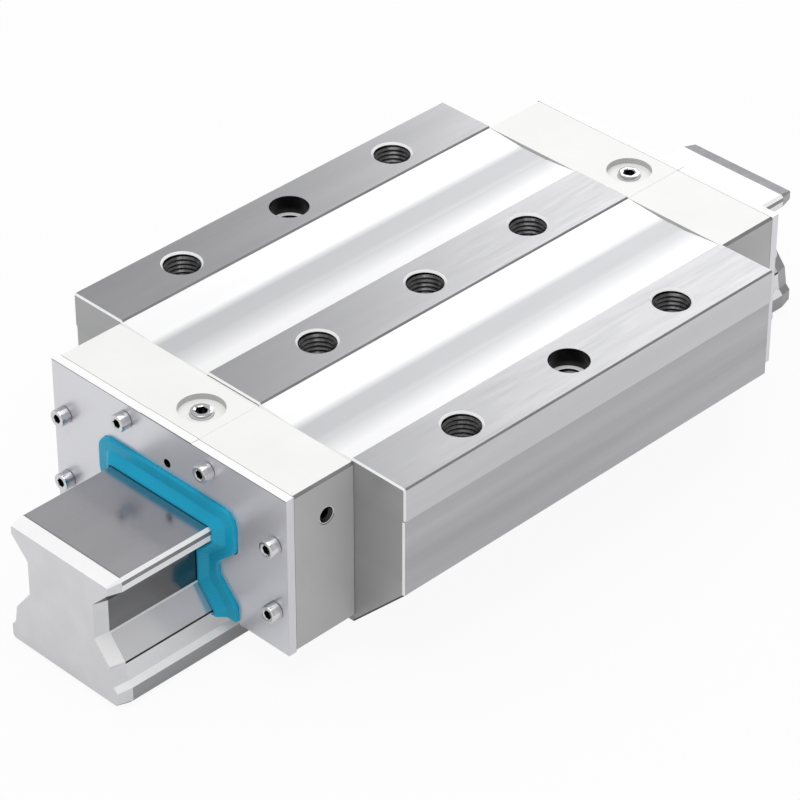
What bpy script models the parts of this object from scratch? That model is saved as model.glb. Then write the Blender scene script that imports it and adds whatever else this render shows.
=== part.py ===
"""Roller runner block on a short length of guide rail.

Axes: X runs across the rail, Y along it (front is -Y), Z is up.
The origin is at the middle of the rail's bottom face.
"""

import math

import bmesh
import bpy
from mathutils import Matrix, Vector

MM = 0.001

# Guide rail
RAIL_LENGTH = 672.0 * MM
RAIL_HEIGHT = 100.0 * MM
RAIL_HEAD_WIDTH = 99.0 * MM
RAIL_NECK_WIDTH = 69.0 * MM
RAIL_FOOT_WIDTH = 98.0 * MM
RAIL_BASE_WIDTH = 110.0 * MM
RAIL_HEAD_EDGE_Z = 90.0 * MM
RAIL_NECK_BOTTOM_Z = 49.4 * MM
RAIL_FOOT_TOP_Z = 31.8 * MM
RAIL_FOOT_BOTTOM_WIDTH = 102.4 * MM
RAIL_BASE_STEP_Z = 14.2 * MM
RAIL_TOP_CHAMFER = 2.2 * MM
RAIL_BASE_CHAMFER = 3.5 * MM
RAIL_LEAD_IN_LENGTH = 11.0 * MM
RAIL_LEAD_IN_DEPTH = 2.5 * MM
RAIL_SCREW_DIAMETER = 14.0 * MM
RAIL_SCREW_DEPTH = 28.0 * MM
RAIL_SCREW_PITCH = 120.0 * MM
RAIL_SCREW_COUNT = 5

# Steel body of the runner block
BLOCK_WIDTH = 320.0 * MM
BLOCK_LENGTH = 360.0 * MM
BLOCK_TOP_Z = 153.0 * MM
BLOCK_BOTTOM_Z = 19.0 * MM
OUTER_STRIP_WIDTH = 48.4 * MM
MIDDLE_STRIP_WIDTH = 49.4 * MM
STRIP_CHAMFER = 1.2 * MM
BLOCK_END_CHAMFER = 1.2 * MM
TROUGH_DEPTH = 3.5 * MM
TROUGH_BOTTOM_WIDTH = 25.0 * MM
SIDE_BAND_HEIGHT = 26.0 * MM
SIDE_BAND_STEP = 1.0 * MM
FLANGE_SIDE_BOTTOM_Z = 66.5 * MM
LEG_RAIL_CLEARANCE = 1.5 * MM
HEAD_RAIL_CLEARANCE = 2.0 * MM
CEILING_RAIL_CLEARANCE = 3.5 * MM

# Screw holes in the table face
HOLE_FROM_SIDE = 25.0 * MM
HOLE_SPACING_ALONG = 102.5 * MM
TAPPED_DIAMETER = 27.0 * MM
TAPPED_CHAMFER_DIAMETER = 30.0 * MM
MIDDLE_ROW_DEPTH = 38.0 * MM
STEPPED_BORE_DIAMETER = 29.0 * MM
STEPPED_BORE_DEPTH = 14.0 * MM
STEPPED_HOLE_DIAMETER = 21.5 * MM

# Rollers and their runways
ROLLER_DIAMETER = 10.0 * MM
ROLLER_LENGTH = 14.0 * MM
ROLLER_CHAMFER = 0.6 * MM
ROLLERS_PER_ROW = 4
ROLLER_STATION_PITCH = 100.0 * MM
BEARING_PLATE_WIDTH = 16.0 * MM
BEARING_PLATE_THICKNESS = 5.0 * MM
UPPER_LOOP_HEIGHT = 34.0 * MM
LOWER_LOOP_HEIGHT = 60.0 * MM
LOOP_LEAD_IN = 3.0 * MM
RETURN_TUBE_DIAMETER = 21.0 * MM
RETAINER_NECK_GAP = 1.5 * MM
RETAINER_OVERLAP = 3.5 * MM
RETAINER_STEM_HEIGHT = 5.0 * MM

# Seals along the legs
LEG_SEAL_Z = 25.0 * MM
LEG_SEAL_HEIGHT = 5.4 * MM
LEG_SEAL_DEPTH = 5.6 * MM
LEG_SEAL_LIP_HEIGHT = 2.0 * MM

# End caps
CAP_WIDTH = 227.0 * MM
CAP_DEPTH = 52.6 * MM
CAP_TOP_Z = 150.8 * MM
CAP_BOTTOM_Z = 25.0 * MM
CAP_PAD_HEIGHT = 0.4 * MM
CAP_EDGE_CHAMFER = 1.8 * MM
CAP_RAIL_CLEARANCE = 2.5 * MM
LUBE_RECESS_DIAMETER = 33.0 * MM
LUBE_RECESS_DEPTH = 4.5 * MM
LUBE_RECESS_FROM_BODY = 28.0 * MM
LUBE_PLUG_DIAMETER = 16.0 * MM
LUBE_PLUG_LENGTH = 11.0 * MM
LUBE_PLUG_EDGE = 1.0 * MM
LUBE_PLUG_SOCKET_FLATS = 8.0 * MM
LUBE_PLUG_SOCKET_DEPTH = 5.5 * MM
LUBE_CHANNEL_DIAMETER = 6.0 * MM
SIDE_PORT_DIAMETER = 9.0 * MM
SIDE_PORT_CHAMFER_DIAMETER = 14.0 * MM
SIDE_PORT_DEPTH = 16.0 * MM
SIDE_PORT_BELOW_TOP = 29.3 * MM
SIDE_PORT_FROM_BODY = 24.0 * MM

# Deflectors
DEFLECTOR_DEPTH = 38.2 * MM
DEFLECTOR_RAIL_CLEARANCE = 1.2 * MM
DEFLECTOR_WALL = 12.0 * MM
DEFLECTOR_FLAT_HALF = 6.0 * MM
DEFLECTOR_CORNER = 3.0 * MM
DEFLECTOR_FLOOR = 3.0 * MM
DEFLECTOR_TOP_Z = 96.0 * MM

# Front plates, their screws and the end seals
PLATE_THICKNESS = 6.8 * MM
SCREW_DIAMETER = 8.0 * MM
SCREW_HEAD_DIAMETER = 13.0 * MM
SCREW_HEAD_HEIGHT = 8.0 * MM
SCREW_LENGTH = 76.0 * MM
SCREW_SOCKET_FLATS = 6.0 * MM
SCREW_SOCKET_DEPTH = 4.0 * MM
SCREW_EDGE = 0.7 * MM
SIDE_SCREW_FROM_EDGE = 11.5 * MM
UPPER_SIDE_SCREW_Z = 110.5 * MM
LOWER_SIDE_SCREW_Z = 57.5 * MM
TOP_SCREW_X = 40.0 * MM
TOP_SCREW_BELOW_TOP = 12.8 * MM
PLATE_VENT_DIAMETER = 6.5 * MM
PLATE_VENT_BELOW_TOP = 28.3 * MM
SEAL_PROUD = 8.5 * MM
SEAL_RIM_PROUD = 3.0 * MM
SEAL_TOP_BAND = 15.0 * MM
SEAL_SIDE_BAND = 16.5 * MM
SEAL_NECK_BAND = 14.0 * MM
SEAL_FOOT_RISE = 8.2 * MM
SEAL_HEAD_DROP = 5.5 * MM
SEAL_RIM_SHARE = 0.6
SEAL_LIP_SHARE = 0.1
SEAL_BOTTOM_Z = 28.0 * MM
SEAL_CORNER_RADIUS = 11.0 * MM
SEAL_SMALL_RADIUS = 4.0 * MM

# Clearance between pieces that touch
GAP = 0.3 * MM

# Facets
HOLE_FACETS = 24
ROLLER_FACETS = 16
SCREW_FACETS = 18
LOOP_FACETS = 8
CORNER_FACETS = 3
SMOOTH_ANGLE = math.radians(35)
ON_AXIS = 1e-9

BLOCK_END = BLOCK_LENGTH / 2
CAP_INNER_FACE = BLOCK_END + GAP
CAP_OUTER_FACE = CAP_INNER_FACE + CAP_DEPTH
PLATE_INNER_FACE = CAP_OUTER_FACE + GAP
PLATE_OUTER_FACE = PLATE_INNER_FACE + PLATE_THICKNESS
INNER_LENGTH = BLOCK_LENGTH - 2 * GAP
LEG_INNER = RAIL_FOOT_BOTTOM_WIDTH / 2 + LEG_RAIL_CLEARANCE
CAP_TOP = CAP_TOP_Z + CAP_PAD_HEIGHT
SIDE_PORT_Z = CAP_TOP_Z - SIDE_PORT_BELOW_TOP
PLATE_VENT_Z = CAP_TOP_Z - PLATE_VENT_BELOW_TOP
ENDS = (("front", -1), ("rear", 1))
SIDES = (("left", -1), ("right", 1))

MATERIALS = {
    "ground_steel": ((0.42, 0.43, 0.44), 0.32, 1.0),
    "rail_steel": ((0.50, 0.50, 0.52), 0.28, 1.0),
    "bearing_steel": ((0.36, 0.37, 0.39), 0.18, 1.0),
    "screw_steel": ((0.30, 0.30, 0.32), 0.25, 1.0),
    "sheet_steel": ((0.55, 0.56, 0.58), 0.35, 1.0),
    "cap_plastic": ((0.80, 0.80, 0.78), 0.45, 0.0),
    "guide_plastic": ((0.55, 0.56, 0.54), 0.50, 0.0),
    "seal_rubber": ((0.02, 0.26, 0.42), 0.35, 0.0),
}


def material(name):
    """Returns the named Principled material, made on first use."""
    found = bpy.data.materials.get(name)
    if found:
        return found
    color, roughness, metallic = MATERIALS[name]
    made = bpy.data.materials.new(name)
    made.use_nodes = True
    shader = made.node_tree.nodes["Principled BSDF"]
    shader.inputs["Base Color"].default_value = (*color, 1.0)
    shader.inputs["Roughness"].default_value = roughness
    shader.inputs["Metallic"].default_value = metallic
    return made


def new_object(name, bm, material_name, smooth=False):
    """Turns a bmesh into a linked object with its material."""
    bmesh.ops.recalc_face_normals(bm, faces=bm.faces)
    mesh = bpy.data.meshes.new(name)
    bm.to_mesh(mesh)
    bm.free()
    if smooth:
        mesh.shade_smooth()
        mesh.set_sharp_from_angle(angle=SMOOTH_ANGLE)
    made = bpy.data.objects.new(name, mesh)
    bpy.context.scene.collection.objects.link(made)
    mesh.materials.append(material(material_name))
    return made


def mirror_outline(right_half):
    """Closes an outline whose right half runs from the bottom centre line upwards."""
    left_half = [(-x, z) for x, z in reversed(right_half)]
    return right_half + [p for p in left_half if abs(p[0]) > ON_AXIS]


def offset_outline(points, distance):
    """Moves each side of a closed anticlockwise outline outwards by a distance."""
    moved = []
    count = len(points)
    for i in range(count):
        before = Vector(points[i - 1])
        here = Vector(points[i])
        after = Vector(points[(i + 1) % count])
        first = (here - before).normalized()
        second = (after - here).normalized()
        first_normal = Vector((first.y, -first.x))
        second_normal = Vector((second.y, -second.x))
        shift = (first_normal + second_normal) / (1 + first_normal.dot(second_normal))
        moved.append(tuple(here + shift * distance))
    return moved


def rounded(points, radii, facets=CORNER_FACETS):
    """Rounds the corners of an open run of points; the two ends stay."""
    run = [points[0]]
    for before, here, after, radius in zip(points, points[1:], points[2:], radii[1:]):
        here = Vector(here)
        back = (Vector(before) - here).normalized()
        ahead = (Vector(after) - here).normalized()
        half_angle = back.angle(ahead) / 2
        reach = radius / math.tan(half_angle)
        start = here + back * reach
        end = here + ahead * reach
        centre = here + (back + ahead).normalized() * (radius / math.sin(half_angle))
        start_arm = start - centre
        end_arm = end - centre
        turn = start_arm.angle_signed(end_arm)
        for step in range(facets + 1):
            arm = start_arm.copy()
            arm.rotate(Matrix.Rotation(-turn * step / facets, 2))
            run.append(tuple(centre + arm))
    run.append(points[-1])
    return run


def loft(name, sections, material_name):
    """Joins outlines of equal count, each at its own Y, into one closed solid."""
    bm = bmesh.new()
    rings = [[bm.verts.new((x, y, z)) for x, z in outline] for y, outline in sections]
    count = len(rings[0])
    for ring, following in zip(rings, rings[1:]):
        for i in range(count):
            j = (i + 1) % count
            bm.faces.new((ring[i], ring[j], following[j], following[i]))
    bm.faces.new(rings[0])
    bm.faces.new(list(reversed(rings[-1])))
    return new_object(name, bm, material_name)


def prism(name, outline, y_start, y_end, material_name):
    """Extrudes a closed outline in X and Z along Y."""
    return loft(name, [(y_start, outline), (y_end, outline)], material_name)


def inner_strip(name, outline, side, material_name):
    """A strip inside the body, given by its right side's outline."""
    half = INNER_LENGTH / 2
    return prism(name, flipped(outline, side), -half, half, material_name)


def ring_radius(kind, size, angle):
    """Radius of a round ring, or of a hexagon with that half width across flats."""
    if kind == "round":
        return size
    sixth = math.pi / 3
    return size / math.cos((angle % sixth) - sixth / 2)


def turned(name, profile, material_name, facets=HOLE_FACETS):
    """Solid about local Z. The profile runs from its start on the axis to its end there."""
    bm = bmesh.new()
    rings = []
    for kind, size, height in profile:
        ring = []
        for i in range(facets):
            angle = 2 * math.pi * i / facets
            radius = ring_radius(kind, size, angle)
            ring.append(bm.verts.new((radius * math.cos(angle), radius * math.sin(angle), height)))
        rings.append(ring)
    for ring, following in zip(rings, rings[1:]):
        for i in range(facets):
            j = (i + 1) % facets
            bm.faces.new((ring[i], ring[j], following[j], following[i]))
    bm.faces.new(rings[0])
    bm.faces.new(list(reversed(rings[-1])))
    return new_object(name, bm, material_name, smooth=True)


def point_along(made, location, direction):
    """Places an object with its local Z along a direction."""
    made.location = location
    made.rotation_mode = "QUATERNION"
    made.rotation_quaternion = Vector(direction).to_track_quat("Z", "Y")


def rod_cutter(name, diameter, start, end, facets=HOLE_FACETS):
    """A plain round cutter between two points."""
    run = Vector(end) - Vector(start)
    profile = [("round", diameter / 2, 0.0), ("round", diameter / 2, run.length)]
    made = turned(name, profile, "ground_steel", facets)
    point_along(made, start, run)
    return made


def cut(target, cutter):
    """Subtracts a cutter from a piece with a Boolean modifier."""
    cutter.hide_render = True
    cutter.display_type = "WIRE"
    change = target.modifiers.new(cutter.name, "BOOLEAN")
    change.operation = "DIFFERENCE"
    change.solver = "EXACT"
    change.object = cutter


def rail_right_half():
    """Right half of the rail's section, from the bottom centre upwards."""
    head = RAIL_HEAD_WIDTH / 2
    neck = RAIL_NECK_WIDTH / 2
    foot = RAIL_FOOT_WIDTH / 2
    foot_bottom = RAIL_FOOT_BOTTOM_WIDTH / 2
    base = RAIL_BASE_WIDTH / 2
    return [
        (base - RAIL_BASE_CHAMFER, 0.0),
        (base, RAIL_BASE_CHAMFER),
        (base, RAIL_BASE_STEP_Z),
        (foot_bottom, foot_bottom_z()),
        (foot, RAIL_FOOT_TOP_Z),
        (neck, RAIL_NECK_BOTTOM_Z),
        (neck, neck_top_z()),
        (head, RAIL_HEAD_EDGE_Z),
        (head, RAIL_HEIGHT - RAIL_TOP_CHAMFER),
        (head - RAIL_TOP_CHAMFER, RAIL_HEIGHT),
    ]


def neck_top_z():
    """The head's underside rises outwards at 45 degrees from here."""
    return RAIL_HEAD_EDGE_Z - (RAIL_HEAD_WIDTH - RAIL_NECK_WIDTH) / 2


def foot_bottom_z():
    """The base's step rises inwards at 45 degrees up to here."""
    return RAIL_BASE_STEP_Z + (RAIL_BASE_WIDTH - RAIL_FOOT_BOTTOM_WIDTH) / 2


def foot_half_width(z):
    """Half the rail's width at a height on the slanted side of its foot."""
    share = (RAIL_FOOT_TOP_Z - z) / (RAIL_FOOT_TOP_Z - foot_bottom_z())
    return (RAIL_FOOT_WIDTH + (RAIL_FOOT_BOTTOM_WIDTH - RAIL_FOOT_WIDTH) * share) / 2


def rail_offset_half(distance):
    """Right half of the rail's section moved outwards, without its base."""
    half = rail_right_half()
    moved = offset_outline(mirror_outline(half), distance)[: len(half)]
    return moved[4:]


class Row:
    """One roller row on the right side: its centre, the direction away from the rail
    and the direction of the rollers' axes, all in X and Z."""

    def __init__(self, inner, outer, turn, loop_height):
        inner = Vector(inner)
        outer = Vector(outer)
        self.along = (outer - inner).normalized()
        self.normal = Vector((self.along.y, -self.along.x)) * turn
        self.turn = turn
        self.loop_height = loop_height
        self.centre = (inner + outer) / 2 + self.normal * (ROLLER_DIAMETER / 2 + GAP)

    def at(self, away, along):
        """Point at a distance from the rail side and along the roller's axis."""
        return tuple(self.centre + self.normal * away + self.along * along)

    def at_x(self, x, along):
        """Point with a given X on the line at a distance along the roller's axis."""
        away = (x - self.centre.x - self.along.x * along) / self.normal.x
        return self.at(away, along)


def roller_rows():
    """Upper and lower rows of the right side."""
    neck = RAIL_NECK_WIDTH / 2
    upper = Row(
        (neck, neck_top_z()),
        (RAIL_HEAD_WIDTH / 2, RAIL_HEAD_EDGE_Z),
        1,
        UPPER_LOOP_HEIGHT,
    )
    lower = Row(
        (neck, RAIL_NECK_BOTTOM_Z),
        (RAIL_FOOT_WIDTH / 2, RAIL_FOOT_TOP_Z),
        -1,
        LOWER_LOOP_HEIGHT,
    )
    return {"upper": upper, "lower": lower}


ROWS = roller_rows()
PLATE_FRONT = ROLLER_DIAMETER / 2 + GAP
PLATE_BACK = PLATE_FRONT + BEARING_PLATE_THICKNESS
POCKET_BACK = PLATE_BACK + GAP
POCKET_HALF = BEARING_PLATE_WIDTH / 2 + GAP


def flipped(outline, side):
    """An outline for the right side, mirrored for the left side with its turn kept."""
    if side > 0:
        return list(outline)
    return [(-x, z) for x, z in reversed(outline)]


def screw_places():
    """X and Z of the six screws of one front plate."""
    places = []
    for _, side in SIDES:
        side_x = side * (CAP_WIDTH / 2 - SIDE_SCREW_FROM_EDGE)
        places.append((side_x, UPPER_SIDE_SCREW_Z))
        places.append((side_x, LOWER_SIDE_SCREW_Z))
        places.append((side * TOP_SCREW_X, CAP_TOP_Z - TOP_SCREW_BELOW_TOP))
    return places


def make_rail():
    """Profiled rail with a lead-in at each end and blind tapped holes underneath."""
    full = mirror_outline(rail_right_half())
    small = offset_outline(full, -RAIL_LEAD_IN_DEPTH)
    end = RAIL_LENGTH / 2
    shoulder = end - RAIL_LEAD_IN_LENGTH
    sections = [(-end, small), (-shoulder, full), (shoulder, full), (end, small)]
    rail = loft("guide_rail", sections, "rail_steel")
    first = -(RAIL_SCREW_COUNT - 1) / 2 * RAIL_SCREW_PITCH
    for i in range(RAIL_SCREW_COUNT):
        y = first + i * RAIL_SCREW_PITCH
        start = (0.0, y, -RAIL_BASE_CHAMFER)
        stop = (0.0, y, RAIL_SCREW_DEPTH)
        cut(rail, rod_cutter(f"rail_hole_{i + 1}", RAIL_SCREW_DIAMETER, start, stop))
    return rail


def block_outline():
    """Section of the steel body: its top, flanges, legs and the pockets for the plates."""
    half = BLOCK_WIDTH / 2
    lower_half = half - SIDE_BAND_STEP
    band_bottom = BLOCK_TOP_Z - SIDE_BAND_HEIGHT
    strip_inner = half - OUTER_STRIP_WIDTH
    strip_middle = MIDDLE_STRIP_WIDTH / 2
    trough_centre = (strip_inner + strip_middle) / 2
    trough_z = BLOCK_TOP_Z - TROUGH_DEPTH
    leg_outer = lower_half - (FLANGE_SIDE_BOTTOM_Z - BLOCK_BOTTOM_Z)
    ceiling_z = RAIL_HEIGHT + CEILING_RAIL_CLEARANCE
    groove_bottom = LEG_SEAL_Z - LEG_SEAL_HEIGHT / 2 - GAP
    groove_top = LEG_SEAL_Z + LEG_SEAL_HEIGHT / 2 + GAP
    groove_x = LEG_INNER + LEG_SEAL_DEPTH + 2 * GAP
    head_clear = RAIL_HEAD_WIDTH / 2 + HEAD_RAIL_CLEARANCE
    upper = ROWS["upper"]
    lower = ROWS["lower"]
    inner = [
        (LEG_INNER, BLOCK_BOTTOM_Z),
        (LEG_INNER, groove_bottom),
        (groove_x, groove_bottom),
        (groove_x, groove_top),
        (LEG_INNER, groove_top),
        lower.at_x(LEG_INNER, POCKET_HALF),
        lower.at(POCKET_BACK, POCKET_HALF),
        lower.at(POCKET_BACK, -POCKET_HALF),
        upper.at(POCKET_BACK, -POCKET_HALF),
        upper.at(POCKET_BACK, POCKET_HALF),
        upper.at_x(head_clear, POCKET_HALF),
        (head_clear, ceiling_z),
    ]
    outer = [
        (leg_outer, BLOCK_BOTTOM_Z),
        (lower_half, FLANGE_SIDE_BOTTOM_Z),
        (lower_half, band_bottom - SIDE_BAND_STEP),
        (half, band_bottom),
        (half, BLOCK_TOP_Z - STRIP_CHAMFER),
        (half - STRIP_CHAMFER, BLOCK_TOP_Z),
        (strip_inner, BLOCK_TOP_Z),
        (strip_inner - STRIP_CHAMFER, BLOCK_TOP_Z - STRIP_CHAMFER),
        (trough_centre + TROUGH_BOTTOM_WIDTH / 2, trough_z),
        (trough_centre - TROUGH_BOTTOM_WIDTH / 2, trough_z),
        (strip_middle + STRIP_CHAMFER, BLOCK_TOP_Z - STRIP_CHAMFER),
        (strip_middle, BLOCK_TOP_Z),
    ]
    right = [(0.0, ceiling_z)] + list(reversed(inner)) + outer
    return mirror_outline(right)


def tapped_cutter(name, x, y, depth):
    """A tapped hole from the table face downwards, with its chamfer."""
    bore = TAPPED_DIAMETER / 2
    mouth = TAPPED_CHAMFER_DIAMETER / 2
    chamfer = mouth - bore
    above = STRIP_CHAMFER
    profile = [
        ("round", bore, -depth),
        ("round", bore, -chamfer),
        ("round", mouth, 0.0),
        ("round", mouth, above),
    ]
    made = turned(name, profile, "ground_steel")
    made.location = (x, y, BLOCK_TOP_Z)
    return made


def stepped_cutter(name, x, y, depth):
    """A stepped through hole from the table face downwards."""
    profile = [
        ("round", STEPPED_HOLE_DIAMETER / 2, -depth),
        ("round", STEPPED_HOLE_DIAMETER / 2, -STEPPED_BORE_DEPTH),
        ("round", STEPPED_BORE_DIAMETER / 2, -STEPPED_BORE_DEPTH),
        ("round", STEPPED_BORE_DIAMETER / 2, STRIP_CHAMFER),
    ]
    made = turned(name, profile, "ground_steel")
    made.location = (x, y, BLOCK_TOP_Z)
    return made


def return_centre(row, side):
    """X and Z of a row's return channel."""
    x, z = row.at(row.loop_height, 0.0)
    return side * x, z


def make_block():
    """Steel body with its screw holes, return bores and tapped end holes."""
    full = block_outline()
    small = offset_outline(full, -BLOCK_END_CHAMFER)
    shoulder = BLOCK_END - BLOCK_END_CHAMFER
    sections = [(-BLOCK_END, small), (-shoulder, full), (shoulder, full), (BLOCK_END, small)]
    block = loft("runner_block_body", sections, "ground_steel")
    through = BLOCK_TOP_Z - BLOCK_BOTTOM_Z
    for column in (-1, 0, 1):
        for place in (-1, 0, 1):
            x = column * (BLOCK_WIDTH / 2 - HOLE_FROM_SIDE)
            y = place * HOLE_SPACING_ALONG
            name = f"table_hole_{column + 1}_{place + 1}"
            if column and not place:
                cut(block, stepped_cutter(name, x, y, through))
            elif column:
                cut(block, tapped_cutter(name, x, y, through))
            else:
                cut(block, tapped_cutter(name, x, y, MIDDLE_ROW_DEPTH))
    past = BLOCK_END + GAP
    bore = RETURN_TUBE_DIAMETER + 2 * GAP
    for side_name, side in SIDES:
        for level, row in ROWS.items():
            x, z = return_centre(row, side)
            name = f"return_bore_{side_name}_{level}"
            cut(block, rod_cutter(name, bore, (x, -past, z), (x, past, z)))
    reach = SCREW_LENGTH - PLATE_THICKNESS - CAP_DEPTH
    hole = SCREW_DIAMETER + 2 * GAP
    for end_name, end in ENDS:
        for i, (x, z) in enumerate(screw_places()):
            start = (x, end * past, z)
            stop = (x, end * (BLOCK_END - reach), z)
            name = f"end_tap_{end_name}_{i + 1}"
            cut(block, rod_cutter(name, hole, start, stop, SCREW_FACETS))
    return [block]


def make_bearing_plates():
    """Hardened runway strips in the body's pockets, one for each row."""
    made = []
    half = BEARING_PLATE_WIDTH / 2
    for side_name, side in SIDES:
        for level, row in ROWS.items():
            outline = [
                row.at(PLATE_FRONT, -half),
                row.at(PLATE_BACK, -half),
                row.at(PLATE_BACK, half),
                row.at(PLATE_FRONT, half),
            ]
            name = f"bearing_plate_{side_name}_{level}"
            made.append(inner_strip(name, outline, side, "bearing_steel"))
    return made


def make_rollers():
    """Separate rollers at their stations, each with its axis on its own joint."""
    made = []
    radius = ROLLER_DIAMETER / 2
    half = ROLLER_LENGTH / 2
    profile = [
        ("round", radius - ROLLER_CHAMFER, -half),
        ("round", radius, -half + ROLLER_CHAMFER),
        ("round", radius, half - ROLLER_CHAMFER),
        ("round", radius - ROLLER_CHAMFER, half),
    ]
    first = -(ROLLERS_PER_ROW - 1) / 2 * ROLLER_STATION_PITCH
    for side_name, side in SIDES:
        for level, row in ROWS.items():
            x, z = row.at(0.0, 0.0)
            direction = (side * row.along.x, 0.0, row.along.y)
            for i in range(ROLLERS_PER_ROW):
                roller = turned(
                    f"roller_{side_name}_{level}_{i + 1}", profile, "bearing_steel", ROLLER_FACETS
                )
                point_along(roller, (side * x, first + i * ROLLER_STATION_PITCH, z), direction)
                made.append(roller)
    return made


def make_retainers():
    """Strips between the two rows of a side that keep the rollers in the block."""
    upper = ROWS["upper"]
    lower = ROWS["lower"]
    along = -(ROLLER_LENGTH / 2 + GAP)
    upper_in = upper.at(-RETAINER_OVERLAP, along)
    upper_out = upper.at(RETAINER_OVERLAP, along)
    lower_in = lower.at(-RETAINER_OVERLAP, along)
    lower_out = lower.at(RETAINER_OVERLAP, along)
    inner_x = RAIL_NECK_WIDTH / 2 + RETAINER_NECK_GAP
    ridge_upper = upper.at(POCKET_BACK, -POCKET_HALF)
    ridge_lower = lower.at(POCKET_BACK, -POCKET_HALF)
    stem_x = min(ridge_upper[0], ridge_lower[0]) - GAP
    stem_z = (ridge_upper[1] + ridge_lower[1]) / 2
    stem_bottom = stem_z - RETAINER_STEM_HEIGHT / 2
    stem_top = stem_z + RETAINER_STEM_HEIGHT / 2
    outline = [
        (inner_x, lower_in[1] + (lower_in[0] - inner_x)),
        lower_in,
        lower_out,
        (lower_out[0], stem_bottom),
        (stem_x, stem_bottom),
        (stem_x, stem_top),
        (upper_out[0], stem_top),
        upper_out,
        upper_in,
        (inner_x, upper_in[1] - (upper_in[0] - inner_x)),
    ]
    made = []
    for side_name, side in SIDES:
        name = f"roller_retainer_{side_name}"
        made.append(inner_strip(name, outline, side, "guide_plastic"))
    return made


def make_return_tubes():
    """Round tubes with a rectangular channel for the rollers on their way back."""
    made = []
    radius = RETURN_TUBE_DIAMETER / 2
    half_length = INNER_LENGTH / 2
    for side_name, side in SIDES:
        for level, row in ROWS.items():
            x, z = return_centre(row, side)
            tube_name = f"return_tube_{side_name}_{level}"
            profile = [("round", radius, 0.0), ("round", radius, INNER_LENGTH)]
            tube = turned(tube_name, profile, "guide_plastic", SCREW_FACETS)
            point_along(tube, (x, -half_length, z), (0.0, 1.0, 0.0))
            channel = prism(
                f"channel_{side_name}_{level}",
                flipped(channel_section(row, row.loop_height), side),
                -BLOCK_END,
                BLOCK_END,
                "guide_plastic",
            )
            cut(tube, channel)
            made.append(tube)
    return made


def channel_section(row, away):
    """Rectangle that a roller passes through with clearance, centred away from the rail."""
    half_height = ROLLER_DIAMETER / 2 + GAP
    half_width = ROLLER_LENGTH / 2 + GAP
    return [
        row.at(away - half_height, -half_width),
        row.at(away + half_height, -half_width),
        row.at(away + half_height, half_width),
        row.at(away - half_height, half_width),
    ]


def loop_cutter(name, row, side, end):
    """The half round channel that turns a row's rollers from the runway to the return."""
    half_height = ROLLER_DIAMETER / 2 + GAP
    half_width = ROLLER_LENGTH / 2 + GAP
    radius = row.loop_height / 2
    stations = [(-radius, -LOOP_LEAD_IN)]
    for step in range(LOOP_FACETS + 1):
        angle = math.pi * step / LOOP_FACETS
        stations.append((-math.cos(angle) * radius, math.sin(angle) * radius))
    stations.append((radius, -LOOP_LEAD_IN))
    bm = bmesh.new()
    rings = []
    for index, (away, reach) in enumerate(stations):
        step = min(max(index - 1, 0), LOOP_FACETS)
        angle = math.pi * step / LOOP_FACETS
        outwards = Vector((-math.cos(angle), math.sin(angle)))
        ring = []
        for rise, width in ((-1, -1), (1, -1), (1, 1), (-1, 1)):
            shifted = Vector((away, reach)) + outwards * rise * half_height
            x, z = row.at(radius + shifted.x, width * half_width)
            ring.append(bm.verts.new((side * x, end * (BLOCK_END + shifted.y), z)))
        rings.append(ring)
    for ring, following in zip(rings, rings[1:]):
        for i in range(4):
            j = (i + 1) % 4
            bm.faces.new((ring[i], ring[j], following[j], following[i]))
    bm.faces.new(rings[0])
    bm.faces.new(rings[-1])
    return new_object(name, bm, "guide_plastic")


def deflector_outline():
    """Section of a deflector on the right side, round both rows and both returns."""
    inner = rail_offset_half(DEFLECTOR_RAIL_CLEARANCE)[:4]
    floor = CAP_BOTTOM_Z + DEFLECTOR_FLOOR
    lower_x, lower_z = ROWS["lower"].at(LOWER_LOOP_HEIGHT, 0.0)
    upper_x, upper_z = ROWS["upper"].at(UPPER_LOOP_HEIGHT, 0.0)
    wall = DEFLECTOR_WALL
    outer = [
        (inner[0][0], floor),
        (inner[0][0] + wall, floor),
        (upper_x + DEFLECTOR_CORNER, upper_z - wall),
        (upper_x + wall, upper_z - DEFLECTOR_CORNER),
        (lower_x + wall, lower_z - DEFLECTOR_FLAT_HALF),
        (lower_x + wall, lower_z + DEFLECTOR_FLAT_HALF),
        (lower_x, lower_z + wall),
        (inner[3][0], DEFLECTOR_TOP_Z),
    ]
    return outer + list(reversed(inner))


def make_deflectors():
    """Turning pieces in the end caps, each with two crossing roller channels."""
    made = []
    outline = deflector_outline()
    for end_name, end in ENDS:
        for side_name, side in SIDES:
            name = f"deflector_{end_name}_{side_name}"
            near = end * CAP_INNER_FACE
            far = end * (CAP_INNER_FACE + DEFLECTOR_DEPTH)
            piece = prism(name, flipped(outline, side), near, far, "guide_plastic")
            for level, row in ROWS.items():
                cut(piece, loop_cutter(f"loop_{end_name}_{side_name}_{level}", row, side, end))
            made.append(piece)
    return made


def cap_outline():
    """Section of an end cap, open at the bottom for the rail."""
    half = CAP_WIDTH / 2
    pad = MIDDLE_STRIP_WIDTH / 2
    edge = CAP_EDGE_CHAMFER
    around_rail = rail_offset_half(CAP_RAIL_CLEARANCE)
    right = [
        (0.0, around_rail[-1][1]),
        *reversed(around_rail),
        (around_rail[0][0], CAP_BOTTOM_Z),
        (half - edge, CAP_BOTTOM_Z),
        (half, CAP_BOTTOM_Z + edge),
        (half, CAP_TOP_Z - edge),
        (half - edge, CAP_TOP_Z),
        (pad, CAP_TOP_Z),
        (pad - CAP_PAD_HEIGHT, CAP_TOP),
    ]
    return mirror_outline(right)


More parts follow.
